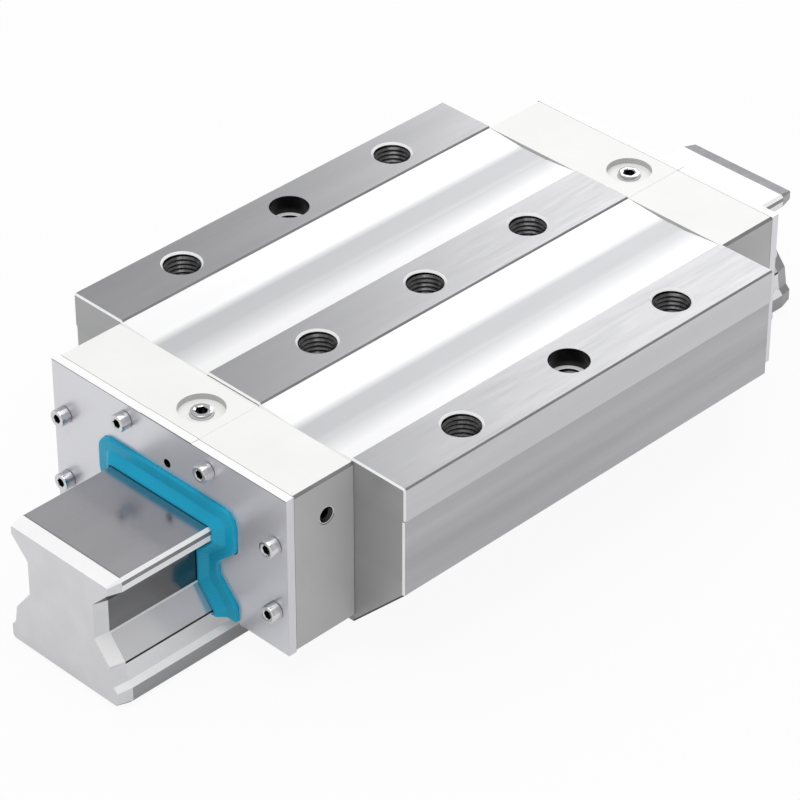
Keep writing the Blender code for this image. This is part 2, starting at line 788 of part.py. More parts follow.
def lube_cutters(end_name, end):
    """Recess, plug bore, cross channel and side ports of one end cap."""
    y_plug = end * (CAP_INNER_FACE + LUBE_RECESS_FROM_BODY)
    y_port = end * (CAP_INNER_FACE + SIDE_PORT_FROM_BODY)
    recess_floor = CAP_TOP - LUBE_RECESS_DEPTH
    bore_floor = recess_floor - LUBE_PLUG_LENGTH - GAP
    profile = [
        ("round", LUBE_CHANNEL_DIAMETER / 2, SIDE_PORT_Z),
        ("round", LUBE_CHANNEL_DIAMETER / 2, bore_floor),
        ("round", LUBE_PLUG_DIAMETER / 2 + GAP, bore_floor),
        ("round", LUBE_PLUG_DIAMETER / 2 + GAP, recess_floor),
        ("round", LUBE_RECESS_DIAMETER / 2, recess_floor),
        ("round", LUBE_RECESS_DIAMETER / 2, CAP_TOP + GAP),
    ]
    plug_bore = turned(f"plug_bore_{end_name}", profile, "cap_plastic")
    plug_bore.location = (0.0, y_plug, 0.0)
    half = CAP_WIDTH / 2
    mouth = SIDE_PORT_CHAMFER_DIAMETER / 2
    port = SIDE_PORT_DIAMETER / 2
    channel = LUBE_CHANNEL_DIAMETER / 2
    chamfer = mouth - port
    run = [
        ("round", mouth, half + GAP),
        ("round", mouth, half),
        ("round", port, half - chamfer),
        ("round", port, half - SIDE_PORT_DEPTH),
        ("round", channel, half - SIDE_PORT_DEPTH),
    ]
    mirrored = [(kind, size, -height) for kind, size, height in run]
    both = mirrored + list(reversed(run))
    cross = turned(f"cross_channel_{end_name}", both, "cap_plastic", SCREW_FACETS)
    point_along(cross, (0.0, y_port, SIDE_PORT_Z), (1.0, 0.0, 0.0))
    feeds = []
    for side_name, side in SIDES:
        x = side * return_centre(ROWS["lower"], 1)[0]
        start = (x, y_port, DEFLECTOR_TOP_Z - DEFLECTOR_WALL)
        stop = (x, y_port, SIDE_PORT_Z)
        name = f"feed_{end_name}_{side_name}"
        feeds.append(rod_cutter(name, LUBE_CHANNEL_DIAMETER, start, stop, SCREW_FACETS))
    return [plug_bore, cross] + feeds


def make_caps():
    """End caps with pockets for the deflectors, screw bores and lubrication channels."""
    made = []
    pocket = offset_outline(deflector_outline(), GAP)
    hole = SCREW_DIAMETER + 2 * GAP
    for end_name, end in ENDS:
        inner_face = end * CAP_INNER_FACE
        outer_face = end * CAP_OUTER_FACE
        cap = prism(f"end_cap_{end_name}", cap_outline(), inner_face, outer_face, "cap_plastic")
        for side_name, side in SIDES:
            near = end * BLOCK_END
            far = end * (CAP_INNER_FACE + DEFLECTOR_DEPTH + GAP)
            name = f"pocket_{end_name}_{side_name}"
            cut(cap, prism(name, flipped(pocket, side), near, far, "cap_plastic"))
        for i, (x, z) in enumerate(screw_places()):
            start = (x, end * BLOCK_END, z)
            stop = (x, end * PLATE_OUTER_FACE, z)
            name = f"cap_bore_{end_name}_{i + 1}"
            cut(cap, rod_cutter(name, hole, start, stop, SCREW_FACETS))
        for cutter in lube_cutters(end_name, end):
            cut(cap, cutter)
        made.append(cap)
    return made


def make_lube_plugs():
    """Socket grub screws that close the lubrication holes on top of the caps."""
    made = []
    radius = LUBE_PLUG_DIAMETER / 2
    length = LUBE_PLUG_LENGTH
    socket = LUBE_PLUG_SOCKET_FLATS / 2
    profile = [
        ("round", radius - LUBE_PLUG_EDGE, 0.0),
        ("round", radius, LUBE_PLUG_EDGE),
        ("round", radius, length - LUBE_PLUG_EDGE),
        ("round", radius - LUBE_PLUG_EDGE, length),
        ("hex", socket, length),
        ("hex", socket, length - LUBE_PLUG_SOCKET_DEPTH),
    ]
    bottom = CAP_TOP - LUBE_RECESS_DEPTH - LUBE_PLUG_LENGTH
    for end_name, end in ENDS:
        plug = turned(f"lube_plug_{end_name}", profile, "screw_steel", SCREW_FACETS)
        plug.location = (0.0, end * (CAP_INNER_FACE + LUBE_RECESS_FROM_BODY), bottom)
        made.append(plug)
    return made


def seal_path(share):
    """Open run of points round the rail: share 0 is the lip at the rail, 1 the outer rim."""
    inner = rail_offset_half(GAP)
    head_z = inner[-1][1]
    foot, neck_low, neck_high, edge = inner[0], inner[1], inner[2], inner[3]
    inside = [
        (foot_half_width(SEAL_BOTTOM_Z) + GAP, SEAL_BOTTOM_Z),
        foot,
        neck_low,
        neck_high,
        edge,
        (edge[0], head_z),
    ]
    outside = [
        (foot[0] + SEAL_SIDE_BAND, SEAL_BOTTOM_Z),
        (foot[0] + SEAL_SIDE_BAND, foot[1] + SEAL_FOOT_RISE),
        (neck_low[0] + SEAL_NECK_BAND, neck_low[1] + SEAL_FOOT_RISE),
        (neck_high[0] + SEAL_NECK_BAND, neck_high[1] - SEAL_HEAD_DROP),
        (edge[0] + SEAL_SIDE_BAND, edge[1] - SEAL_HEAD_DROP),
        (edge[0] + SEAL_SIDE_BAND, head_z + SEAL_TOP_BAND),
    ]
    small_in = RAIL_TOP_CHAMFER / 2
    corners = len(inside) - 1
    radii_in = [0.0] + [small_in] * corners
    radii_out = [0.0] + [SEAL_SMALL_RADIUS] * (corners - 1) + [SEAL_CORNER_RADIUS]
    half = [blend_point(a, b, share) for a, b in zip(inside, outside)]
    radii = [a + (b - a) * share for a, b in zip(radii_in, radii_out)]
    points = half + [(-x, z) for x, z in reversed(half)]
    return rounded(points, radii + list(reversed(radii)))


def blend_point(a, b, share):
    """Point at a share of the way from a to b."""
    return (a[0] + (b[0] - a[0]) * share, a[1] + (b[1] - a[1]) * share)


def plate_outline():
    """Face of a front plate, open at the bottom round the seal's outer rim."""
    half = CAP_WIDTH / 2
    pad = MIDDLE_STRIP_WIDTH / 2
    opening = offset_outline(seal_path(1.0), GAP)
    mouth = opening[0][0]
    rim = [
        (mouth, CAP_BOTTOM_Z),
        (half, CAP_BOTTOM_Z),
        (half, CAP_TOP_Z),
        (pad, CAP_TOP_Z),
        (pad - CAP_PAD_HEIGHT, CAP_TOP),
        (CAP_PAD_HEIGHT - pad, CAP_TOP),
        (-pad, CAP_TOP_Z),
        (-half, CAP_TOP_Z),
        (-half, CAP_BOTTOM_Z),
        (-mouth, CAP_BOTTOM_Z),
    ]
    return rim + list(reversed(opening))


def make_plates():
    """Front plates on the end caps, with bores for the screws and a vent."""
    made = []
    outline = plate_outline()
    bore = SCREW_DIAMETER + 2 * GAP
    holes = [(x, z, bore) for x, z in screw_places()]
    holes.append((0.0, PLATE_VENT_Z, PLATE_VENT_DIAMETER))
    for end_name, end in ENDS:
        inner_face = end * PLATE_INNER_FACE
        outer_face = end * PLATE_OUTER_FACE
        plate = prism(f"front_plate_{end_name}", outline, inner_face, outer_face, "sheet_steel")
        for i, (x, z, diameter) in enumerate(holes):
            start = (x, end * CAP_OUTER_FACE, z)
            stop = (x, end * (PLATE_OUTER_FACE + GAP), z)
            name = f"plate_bore_{end_name}_{i + 1}"
            cut(plate, rod_cutter(name, diameter, start, stop, SCREW_FACETS))
        made.append(plate)
    return made


def make_seals():
    """End seals: a rim in the plate's cut-out that rises to a lip round the rail."""
    made = []
    section = (
        (1.0, 0.0),
        (1.0, PLATE_THICKNESS + SEAL_RIM_PROUD),
        (SEAL_RIM_SHARE, PLATE_THICKNESS + SEAL_RIM_PROUD),
        (SEAL_LIP_SHARE, PLATE_THICKNESS + SEAL_PROUD),
        (0.0, PLATE_THICKNESS + SEAL_PROUD),
        (0.0, 0.0),
    )
    for end_name, end in ENDS:
        bm = bmesh.new()
        runs = []
        for share, reach in section:
            y = end * (PLATE_INNER_FACE + reach)
            runs.append([bm.verts.new((x, y, z)) for x, z in seal_path(share)])
        for i, run in enumerate(runs):
            following = runs[(i + 1) % len(runs)]
            for a, b, c, d in zip(run, run[1:], following[1:], following):
                bm.faces.new((a, b, c, d))
        bm.faces.new([run[0] for run in runs])
        bm.faces.new([run[-1] for run in reversed(runs)])
        made.append(new_object(f"end_seal_{end_name}", bm, "seal_rubber"))
    return made


def make_screws():
    """Socket cap screws that hold plate and cap to the body."""
    made = []
    radius = SCREW_DIAMETER / 2
    head = SCREW_HEAD_DIAMETER / 2
    edge = SCREW_EDGE
    socket = SCREW_SOCKET_FLATS / 2
    profile = [
        ("round", radius - edge, -SCREW_LENGTH),
        ("round", radius, edge - SCREW_LENGTH),
        ("round", radius, 0.0),
        ("round", head, 0.0),
        ("round", head, SCREW_HEAD_HEIGHT - edge),
        ("round", head - edge, SCREW_HEAD_HEIGHT),
        ("hex", socket, SCREW_HEAD_HEIGHT),
        ("hex", socket, SCREW_HEAD_HEIGHT - SCREW_SOCKET_DEPTH),
    ]
    for end_name, end in ENDS:
        seat = end * (PLATE_OUTER_FACE + GAP)
        for i, (x, z) in enumerate(screw_places()):
            name = f"plate_screw_{end_name}_{i + 1}"
            screw = turned(name, profile, "screw_steel", SCREW_FACETS)
            point_along(screw, (x, seat, z), (0.0, end, 0.0))
            made.append(screw)
    return made


def make_leg_seals():
    """Longitudinal seals in grooves along the legs, with a lip to the rail's foot."""
    groove = LEG_INNER + GAP
    back = groove + LEG_SEAL_DEPTH
    bottom = LEG_SEAL_Z - LEG_SEAL_HEIGHT / 2
    top = LEG_SEAL_Z + LEG_SEAL_HEIGHT / 2
    lip_bottom = LEG_SEAL_Z - LEG_SEAL_LIP_HEIGHT / 2
    lip_top = LEG_SEAL_Z + LEG_SEAL_LIP_HEIGHT / 2
    outline = [
        (foot_half_width(lip_bottom) + GAP, lip_bottom),
        (groove, bottom),
        (back, bottom),
        (back, top),
        (groove, top),
        (foot_half_width(lip_top) + GAP, lip_top),
    ]
    made = []
    for side_name, side in SIDES:
        name = f"leg_seal_{side_name}"
        made.append(inner_strip(name, outline, side, "seal_rubber"))
    return made


def main():
    """Builds the rail and, under one carriage empty, every piece of the runner block."""
    for old in list(bpy.data.objects):
        bpy.data.objects.remove(old)
    make_rail()
    carriage = bpy.data.objects.new("carriage", None)
    bpy.context.scene.collection.objects.link(carriage)
    pieces = make_block()
    pieces += make_bearing_plates()
    pieces += make_rollers()
    pieces += make_retainers()
    pieces += make_return_tubes()
    pieces += make_leg_seals()
    pieces += make_deflectors()
    pieces += make_caps()
    pieces += make_lube_plugs()
    pieces += make_plates()
    pieces += make_seals()
    pieces += make_screws()
    for piece in pieces:
        piece.parent = carriage


main()
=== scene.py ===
"""Looks of the roller runner block: finishes, fine edges, threads, seals, screws and rollers."""

import math

import bmesh
import bpy
from mathutils import Matrix, Vector


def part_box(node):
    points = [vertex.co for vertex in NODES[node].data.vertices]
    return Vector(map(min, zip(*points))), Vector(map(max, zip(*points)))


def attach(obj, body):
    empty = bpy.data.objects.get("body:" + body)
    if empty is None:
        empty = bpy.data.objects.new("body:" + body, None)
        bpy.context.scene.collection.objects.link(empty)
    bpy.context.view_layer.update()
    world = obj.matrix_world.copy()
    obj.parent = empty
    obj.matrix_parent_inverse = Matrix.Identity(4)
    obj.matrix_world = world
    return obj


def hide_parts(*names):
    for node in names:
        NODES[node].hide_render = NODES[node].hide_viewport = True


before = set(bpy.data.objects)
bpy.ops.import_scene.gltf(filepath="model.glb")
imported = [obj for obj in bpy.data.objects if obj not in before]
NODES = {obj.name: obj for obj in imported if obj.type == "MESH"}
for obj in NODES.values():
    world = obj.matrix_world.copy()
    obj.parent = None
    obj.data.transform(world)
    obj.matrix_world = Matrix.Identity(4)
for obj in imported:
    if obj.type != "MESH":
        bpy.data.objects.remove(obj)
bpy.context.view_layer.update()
MM = 0.001

# Camera of the photograph
CAMERA_PLACE = (1.55235, -1.57667, 1.61779)
CAMERA_AZIMUTH = math.radians(45.0)
CAMERA_ELEVATION = math.radians(35.264)
FOCAL_PIXELS = 3864.7
PHOTO_PIXELS = 800
SENSOR_WIDTH = 36.0

# Rail section, as in the solid
RAIL_HEIGHT = 100.0 * MM
RAIL_HEAD_HALF = 49.5 * MM
RAIL_NECK_HALF = 34.5 * MM
RAIL_FOOT_HALF = 49.0 * MM
RAIL_HEAD_EDGE_Z = 90.0 * MM
RAIL_NECK_TOP_Z = 75.0 * MM
RAIL_NECK_BOTTOM_Z = 49.4 * MM
RAIL_FOOT_TOP_Z = 31.8 * MM
RAIL_FOOT_BOTTOM_Z = 18.0 * MM
RAIL_FOOT_BOTTOM_HALF = 51.2 * MM
RAIL_STEP_Z = 14.2 * MM
RAIL_LIP_Z = 94.6 * MM
RAIL_TOP_CHAMFER = 2.2 * MM
LEAD_IN_START = 325.0 * MM
# Width of the bands of painted highlight and painted shade along edges
PAINTED_LINE_WIDTH = 1.1 * MM
RAIL_BEVEL = 0.35 * MM

# Runner block
BLOCK_TOP_Z = 153.0 * MM
BLOCK_END = 180.0 * MM
OUTER_STRIP_INNER = 111.6 * MM
MIDDLE_STRIP_HALF = 24.7 * MM
STRIP_CHAMFER = 1.2 * MM
TROUGH_DEPTH = 3.5 * MM
TROUGH_BOTTOM_HALF = 12.5 * MM
TROUGH_MIDDLE = (OUTER_STRIP_INNER + MIDDLE_STRIP_HALF) / 2
# Painted reflection in the troughs: a grey band about each trough's middle, set by X
REFLECTION_BAND_START = 15.0 * MM
REFLECTION_BAND_FULL = 7.0 * MM
REFLECTION_BAND_END = 32.0 * MM
REFLECTION_BAND_TINT = (0.58, 0.585, 0.60, 1.0)
# Places of the lines added along each trough, from its middle
TROUGH_LINES = (-24.5 * MM, -14.5 * MM, -10.5 * MM, 2.5 * MM, 34.5 * MM)
SIDE_BAND_BOTTOM_Z = 126.5 * MM
HOLE_ACROSS = 135.0 * MM
HOLE_ALONG = 102.5 * MM
TAPPED_RADIUS = 13.5 * MM
TAPPED_MOUTH = 15.0 * MM
STEPPED_RADIUS = 14.5 * MM
STEPPED_DEPTH = 14.0 * MM
STEPPED_HOLE_RADIUS = 10.75 * MM
REFILL_RADIUS = 15.4 * MM
REFILL_DEPTH = 30.0 * MM
THREAD_PITCH = 3.5 * MM
THREAD_HEIGHT = 1.5 * MM
THREAD_TURNS = 7
THREAD_ROOT_GAP = 0.1 * MM
# Heights of the corners of a thread's section, as shares of its pitch
THREAD_SHARES = (0.0, 0.40, 0.56, 0.96)

# End caps
CAP_TOP_Z = 151.2 * MM
CAP_SIDE = 113.5 * MM
RECESS_Y = 208.3 * MM
RECESS_RADIUS = 16.5 * MM
RECESS_DEPTH = 4.5 * MM
PLUG_RADIUS = 8.0 * MM
PLUG_LENGTH = 14.0 * MM
PLUG_RISE = 3.0 * MM
PLUG_SOCKET_HALF = 4.0 * MM
PLUG_SOCKET_DEPTH = 5.5 * MM
PLUG_FOOT_CHAMFER = 1.0 * MM
PLUG_ROUND = 0.4 * MM
PLUG_TOP_ROUND = 1.2 * MM
PLUG_SOCKET_RIM = 0.9 * MM
PLUG_REFILL_DEPTH = 10.0 * MM
PORT_Y = 204.3 * MM
PORT_Z = 121.5 * MM
PORT_RADIUS = 4.5 * MM
PORT_MOUTH = 7.0 * MM
PORT_REFILL = 12.0 * MM
INSERT_WALL = 0.8 * MM
INSERT_RIM = 1.1 * MM
CAP_BEVEL = 0.5 * MM
# Reach from the cap's sides within which chamfers get a painted shade line
CAP_SHADE_LINE_REACH = 2.0 * MM

# Front plates and their screws
PLATE_INNER = 233.2 * MM
PLATE_OUTER = 240.0 * MM
VENT_Z = 122.5 * MM
# Reach about the vent within which its wall gets painted shade
VENT_SHADE_REACH = 4.5 * MM
PLATE_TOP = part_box("front_plate_front")[1].z
PLATE_BEVEL = 0.3 * MM
SCREW_HEAD_RADIUS = 6.5 * MM
SCREW_HEAD_HEIGHT = 8.0 * MM
SCREW_SOCKET_HALF = 3.0 * MM
SCREW_SOCKET_DEPTH = 4.0 * MM
SCREW_SHANK_RADIUS = 4.0 * MM
SCREW_SHANK = 76.0 * MM
SCREWS_PER_PLATE = 6
# Edges of the screw heads; the plugs share the rounding and the socket edges
HEAD_FOOT_EDGE = 0.2 * MM
HEAD_ROUND = 1.0 * MM
HEAD_ROUND_STEP = 0.3 * MM
SOCKET_RIM = 1.0 * MM
SOCKET_CHAMFER = 0.5 * MM
# Reach of the painted shade in the sockets of screws and plugs, as a multiple of the socket's half width
SOCKET_SHADE_REACH = 1.08

# End seals
SEAL_BOTTOM_Z = 28.0 * MM
SEAL_SIDE_BAND = 16.5 * MM
SEAL_NECK_BAND = 14.0 * MM
SEAL_TOP_BAND = 15.0 * MM
SEAL_FOOT_RISE = 8.2 * MM
SEAL_HEAD_DROP = 5.5 * MM
SEAL_CORNER = 11.5 * MM
SEAL_SMALL_CORNER = 10.0 * MM
# Share of the way from lip to rim, and reach beyond the plate's inner face in mm
SEAL_SECTION = (
    (1.0, 0.0), (1.0, 8.9), (0.99, 9.4), (0.965, 9.7), (0.93, 9.8), (0.52, 9.8), (0.48, 9.9),
    (0.44, 10.3), (0.40, 10.9), (0.18, 14.4), (0.14, 14.9), (0.10, 15.2), (0.05, 15.3), (0.02, 15.2),
    (0.0, 14.9), (0.0, 0.0),
)

# Rollers between the stations of the solid ones
ROLLER_RADIUS = 5.0 * MM
ROLLER_LENGTH = 14.0 * MM
ROLLER_CHAMFER = 0.6 * MM
ROLLERS_BETWEEN = 8
ROLLERS_PAST_END = 2
ROLLER_STATIONS = 4
ROLLER_FACETS = 20

# Clearance, fine edges and how finely round forms are cut
GAP = 0.3 * MM
EDGE_BEVEL = 0.45 * MM
FINE_FACETS = 64
SMALL_FACETS = 36
CORNER_FACETS = 12
SHARP_ANGLE = math.radians(32)
BEVEL_ANGLE = math.radians(34)
WELD = 1e-6
FLAT_AREA = 12 * MM * MM
FLAT_TURN = math.radians(0.4)

# Parts of a face's normal along an axis, from which it counts as turned that way
TILT = 0.05
LEAN = 0.1
EDGE_TILT = 0.2
SLOPE = 0.3
MOSTLY = 0.5
SQUARE_ON = 0.9
RAIL_LEVEL = 0.95
HOLE_LEVEL = 0.98
STRIP_LEVEL = 0.99

# Materials, lamps and floor
FINE_GRAIN = 900.0
RELIEF_DEPTH = 0.2 * MM
COAT_ROUGHNESS = 0.12
ROOM_STRENGTH = 0.60
LAMP_AIM = (0.0, 0.0, 0.1)
OVERHEAD_PLACE = (0.1, -0.35, 1.9)
OVERHEAD_SIZE = (1.6, 1.6)
OVERHEAD_POWER = 14.0
BEHIND_PLACE = (-0.75, 1.55, 1.25)
BEHIND_AIM = (0.0, 0.1, 0.1)
BEHIND_SIZE = (1.2, 1.0)
BEHIND_POWER = 7.0
FLOOR_SIZE = 6.0
FLOOR_DROP = 0.2 * MM
FLOOR_TONE = 0.86
FLOOR_ROUGHNESS = 0.8
FLOOR_GLOW = 0.93
FLOOR_MIRRORED_GLOW = 0.35
CLIP_NEAR = 0.05
CLIP_FAR = 50.0

ENDS = (("front", -1), ("rear", 1))
SIDES = (("left", -1), ("right", 1))

EVEN = (1.0, 1.0, 1.0)
ALONG_Y = (1.0, 0.03, 1.0)
ALONG_X = (0.03, 1.0, 1.0)


def link(tree, start, end):
    """Joins two sockets."""
    tree.links.new(start, end)


def noise(tree, coordinates, scale, stretch, detail=6.0):
    """Noise in object space, drawn out along the axes where stretch is small."""
    mapping = tree.nodes.new("ShaderNodeMapping")
    mapping.inputs["Scale"].default_value = stretch
    link(tree, coordinates, mapping.inputs["Vector"])
    made = tree.nodes.new("ShaderNodeTexNoise")
    made.inputs["Scale"].default_value = scale
    made.inputs["Detail"].default_value = detail
    link(tree, mapping.outputs["Vector"], made.inputs["Vector"])
    return made.outputs["Fac"]


def remap(tree, value, low, high, start=0.3, end=0.7):
    """Maps a value from one range to another."""
    made = tree.nodes.new("ShaderNodeMapRange")
    made.inputs["From Min"].default_value = start
    made.inputs["From Max"].default_value = end
    made.inputs["To Min"].default_value = low
    made.inputs["To Max"].default_value = high
    link(tree, value, made.inputs["Value"])
    return made.outputs["Result"]


def blended(tree, factor, first, second):
    """Mixes two colours."""
    made = tree.nodes.new("ShaderNodeMix")
    made.data_type = "RGBA"
    link(tree, factor, made.inputs["Factor"])
    made.inputs["A"].default_value = (*first, 1.0)
    made.inputs["B"].default_value = (*second, 1.0)
    return made.outputs["Result"]


def finish_material(
        name, light, dark, rough, metallic, stretch, scale, bump, fine=FINE_GRAIN, coat=0.0, specular=0.5):
    """Procedural finish: drawn-out tone streaks, uneven roughness and a fine relief."""
    made = bpy.data.materials.new(name)
    made.use_nodes = True
    tree = made.node_tree
    shader = tree.nodes["Principled BSDF"]
    coordinates = tree.nodes.new("ShaderNodeTexCoord").outputs["Object"]
    tone = remap(tree, noise(tree, coordinates, scale, stretch), 0.0, 1.0)
    link(tree, blended(tree, tone, light, dark), shader.inputs["Base Color"])
    grain = noise(tree, coordinates, fine, stretch, detail=3.0)
    link(tree, remap(tree, grain, rough[0], rough[1]), shader.inputs["Roughness"])
    shader.inputs["Metallic"].default_value = metallic
    shader.inputs["Specular IOR Level"].default_value = specular
    if coat:
        shader.inputs["Coat Weight"].default_value = coat
        shader.inputs["Coat Roughness"].default_value = COAT_ROUGHNESS
    relief = tree.nodes.new("ShaderNodeBump")
    relief.inputs["Strength"].default_value = bump
    relief.inputs["Distance"].default_value = RELIEF_DEPTH
    link(tree, grain, relief.inputs["Height"])
    link(tree, relief.outputs["Normal"], shader.inputs["Normal"])
    return made


def trough_material():
    """White trough finish with a painted reflection: a soft grey band along its middle."""
    made = finish_material(
        "trough_with_painted_reflection", (0.97, 0.97, 0.98), (0.94, 0.94, 0.95), (0.30, 0.40), 0.15, ALONG_Y, 40.0, 0.01)
    tree = made.node_tree
    shader = tree.nodes["Principled BSDF"]
    tone = shader.inputs["Base Color"].links[0].from_socket
    place = tree.nodes.new("ShaderNodeSeparateXYZ")
    link(tree, tree.nodes.new("ShaderNodeTexCoord").outputs["Object"], place.inputs["Vector"])
    shares = []
    for middle in (-TROUGH_MIDDLE, TROUGH_MIDDLE):
        rise = remap(tree, place.outputs["X"], 0.0, 1.0, middle - REFLECTION_BAND_START, middle - REFLECTION_BAND_FULL)
        fall = remap(tree, place.outputs["X"], 1.0, 0.0, middle + REFLECTION_BAND_FULL, middle + REFLECTION_BAND_END)
        share = tree.nodes.new("ShaderNodeMath")
        share.operation = "MULTIPLY"
        link(tree, rise, share.inputs[0])
        link(tree, fall, share.inputs[1])
        shares.append(share)
    total = tree.nodes.new("ShaderNodeMath")
    total.operation = "ADD"
    link(tree, shares[0].outputs["Value"], total.inputs[0])
    link(tree, shares[1].outputs["Value"], total.inputs[1])
    # Multiplies the grey band of painted reflection into the trough's tone
    mix = tree.nodes.new("ShaderNodeMix")
    mix.data_type = "RGBA"
    mix.blend_type = "MULTIPLY"
    link(tree, total.outputs["Value"], mix.inputs["Factor"])
    link(tree, tone, mix.inputs["A"])
    mix.inputs["B"].default_value = REFLECTION_BAND_TINT
    link(tree, mix.outputs["Result"], shader.inputs["Base Color"])
    return made


def grey(value, blue=1.03):
    """A neutral tone with a slight cool tint."""
    return (value, value, value * blue)


FINISHES = {
    "strip": finish_material(
        "ground_strip", grey(0.44), grey(0.40), (0.30, 0.38), 1.0, ALONG_Y, 70.0, 0.02),
    "trough": trough_material(),
    "band": finish_material(
        "ground_band", grey(0.66), grey(0.60), (0.30, 0.38), 0.9, ALONG_Y, 90.0, 0.02),
    "side": finish_material(
        "brushed_side", grey(0.54), grey(0.44), (0.34, 0.44), 0.9, ALONG_Y, 60.0, 0.03),
    "end": finish_material(
        "steel_end", grey(0.46, 1.01), grey(0.42, 1.01), (0.30, 0.38), 0.5, ALONG_X, 60.0, 0.02),
    "under": finish_material(
        "steel_under", grey(0.32), grey(0.27), (0.32, 0.42), 1.0, ALONG_Y, 60.0, 0.03),
    # Near-black painted shade for hole walls, sockets, downward faces and the channel over the rail
    "dark": finish_material(
        "painted_shade_steel", grey(0.06), grey(0.03), (0.30, 0.45), 1.0, EVEN, 120.0, 0.05),
    # Threads: steel darker than the body's, as painted shade inside the holes
    "thread": finish_material(
        "cut_thread_painted_shade", grey(0.15), grey(0.07), (0.20, 0.34), 1.0, EVEN, 300.0, 0.05),
    # White painted highlight on chamfers, hole mouths, rail bands, plate tops and insert rims
    "bright": finish_material(
        "painted_highlight_edge", grey(0.99, 1.0), grey(0.97, 1.0), (0.20, 0.28), 0.0, EVEN, 60.0, 0.01),
    # Grey painted shade lines along edges and chamfers
    "painted_shade_line": finish_material(
        "painted_shade_edge_line", grey(0.30), grey(0.24), (0.30, 0.40), 0.6, EVEN, 60.0, 0.01),
    "rail": finish_material(
        "rail_ground", grey(0.54, 1.05), grey(0.50, 1.05), (0.15, 0.21), 1.0, ALONG_Y, 60.0, 0.01),
    "rail_end": finish_material(
        "rail_cut_end", grey(0.78, 1.03), grey(0.72, 1.03), (0.34, 0.42), 0.6, EVEN, 40.0, 0.02),
    # The neck: a darker copy of the rail steel, as painted shade under the head
    "rail_neck_painted_shade": finish_material(
        "rail_neck_painted_shade", grey(0.20), grey(0.15), (0.10, 0.18), 1.0, ALONG_Y, 60.0, 0.01),
    "runway": finish_material(
        "polished_runway", grey(0.78), grey(0.72), (0.12, 0.18), 0.8, ALONG_Y, 60.0, 0.01),
    "rail_base": finish_material(
        "rail_base", grey(0.40), grey(0.34), (0.30, 0.40), 1.0, ALONG_Y, 60.0, 0.02),
    "plate": finish_material(
        "sheet_steel", grey(0.80, 1.05), grey(0.75, 1.05), (0.28, 0.34), 0.7, EVEN, 8.0, 0.005),
    "screw": finish_material(
        "screw_steel", grey(0.74), grey(0.62), (0.10, 0.16), 1.0, EVEN, 200.0, 0.01),
    "roller": finish_material(
        "roller_steel", grey(0.62), grey(0.56), (0.08, 0.14), 1.0, EVEN, 200.0, 0.01),
    "cap": finish_material(
        "cap_plastic", (0.91, 0.91, 0.895), (0.88, 0.88, 0.865),
        (0.42, 0.52), 0.0, EVEN, 30.0, 0.02, 1400.0),
    # Cap sides and fronts: a darker copy of the cap plastic, as painted shade
    "cap_painted_side_shade": finish_material(
        "cap_plastic_painted_side_shade", (0.56, 0.56, 0.56), (0.50, 0.50, 0.50),
        (0.36, 0.46), 0.0, EVEN, 20.0, 0.02, 1400.0),
    "guide": finish_material(
        "guide_plastic", (0.50, 0.51, 0.48), (0.44, 0.45, 0.43),
        (0.45, 0.60), 0.0, EVEN, 60.0, 0.05, 1200.0),
    "seal": finish_material(
        "seal_rubber", (0.003, 0.42, 0.66), (0.002, 0.38, 0.60),
        (0.26, 0.34), 0.0, EVEN, 40.0, 0.01, 800.0, 0.12, 0.25),
}


def give(piece, *finishes):
    """Puts finishes in a piece's material slots, in order."""
    piece.data.materials.clear()
    for finish in finishes:
        piece.data.materials.append(FINISHES[finish])


def new_piece(name, bm):
    """Links a bmesh as a piece, smooth except at sharp edges."""
    bmesh.ops.recalc_face_normals(bm, faces=bm.faces)
    mesh = bpy.data.meshes.new(name)
    bm.to_mesh(mesh)
    bm.free()
    made = bpy.data.objects.new(name, mesh)
    bpy.context.scene.collection.objects.link(made)
    mesh.shade_smooth()
    mesh.set_sharp_from_angle(angle=SHARP_ANGLE)
    return made


def applied(piece):
    """Applies a piece's modifiers to its mesh."""
    bpy.context.view_layer.update()
    evaluated = piece.evaluated_get(bpy.context.evaluated_depsgraph_get())
    mesh = bpy.data.meshes.new_from_object(evaluated)
    piece.modifiers.clear()
    piece.data = mesh
    return piece


def cleaned(bm):
    """Welds doubles and merges flat neighbours."""
    bmesh.ops.remove_doubles(bm, verts=bm.verts, dist=WELD)
    bmesh.ops.dissolve_limit(
        bm, angle_limit=FLAT_TURN, verts=bm.verts, edges=bm.edges)


def copy_of(node, name):
    """Clean copy of a CAD node's mesh as a new piece."""
    bm = bmesh.new()
    bm.from_mesh(NODES[node].data)
    cleaned(bm)
    return new_piece(name, bm)


def boolean(piece, other, operation):
    """Applies a Boolean with another piece, which is then removed."""
    change = piece.modifiers.new("change", "BOOLEAN")
    change.operation = operation
    change.solver = "EXACT"
    change.object = other
    applied(piece)
    bpy.data.objects.remove(other)
    bm = bmesh.new()
    bm.from_mesh(piece.data)
    cleaned(bm)
    bm.to_mesh(piece.data)
    bm.free()
    piece.data.shade_smooth()
    piece.data.set_sharp_from_angle(angle=SHARP_ANGLE)


def scored(piece, cuts):
    """Adds lines across a piece at planes, so that the faces beside them can differ in finish, such as
    bands of painted highlight and shade.
    """
    bm = bmesh.new()
    bm.from_mesh(piece.data)
    for place, direction in cuts:
        everything = list(bm.verts) + list(bm.edges) + list(bm.faces)
        bmesh.ops.bisect_plane(bm, geom=everything, dist=WELD, plane_co=place, plane_no=direction)
    bm.to_mesh(piece.data)
    bm.free()


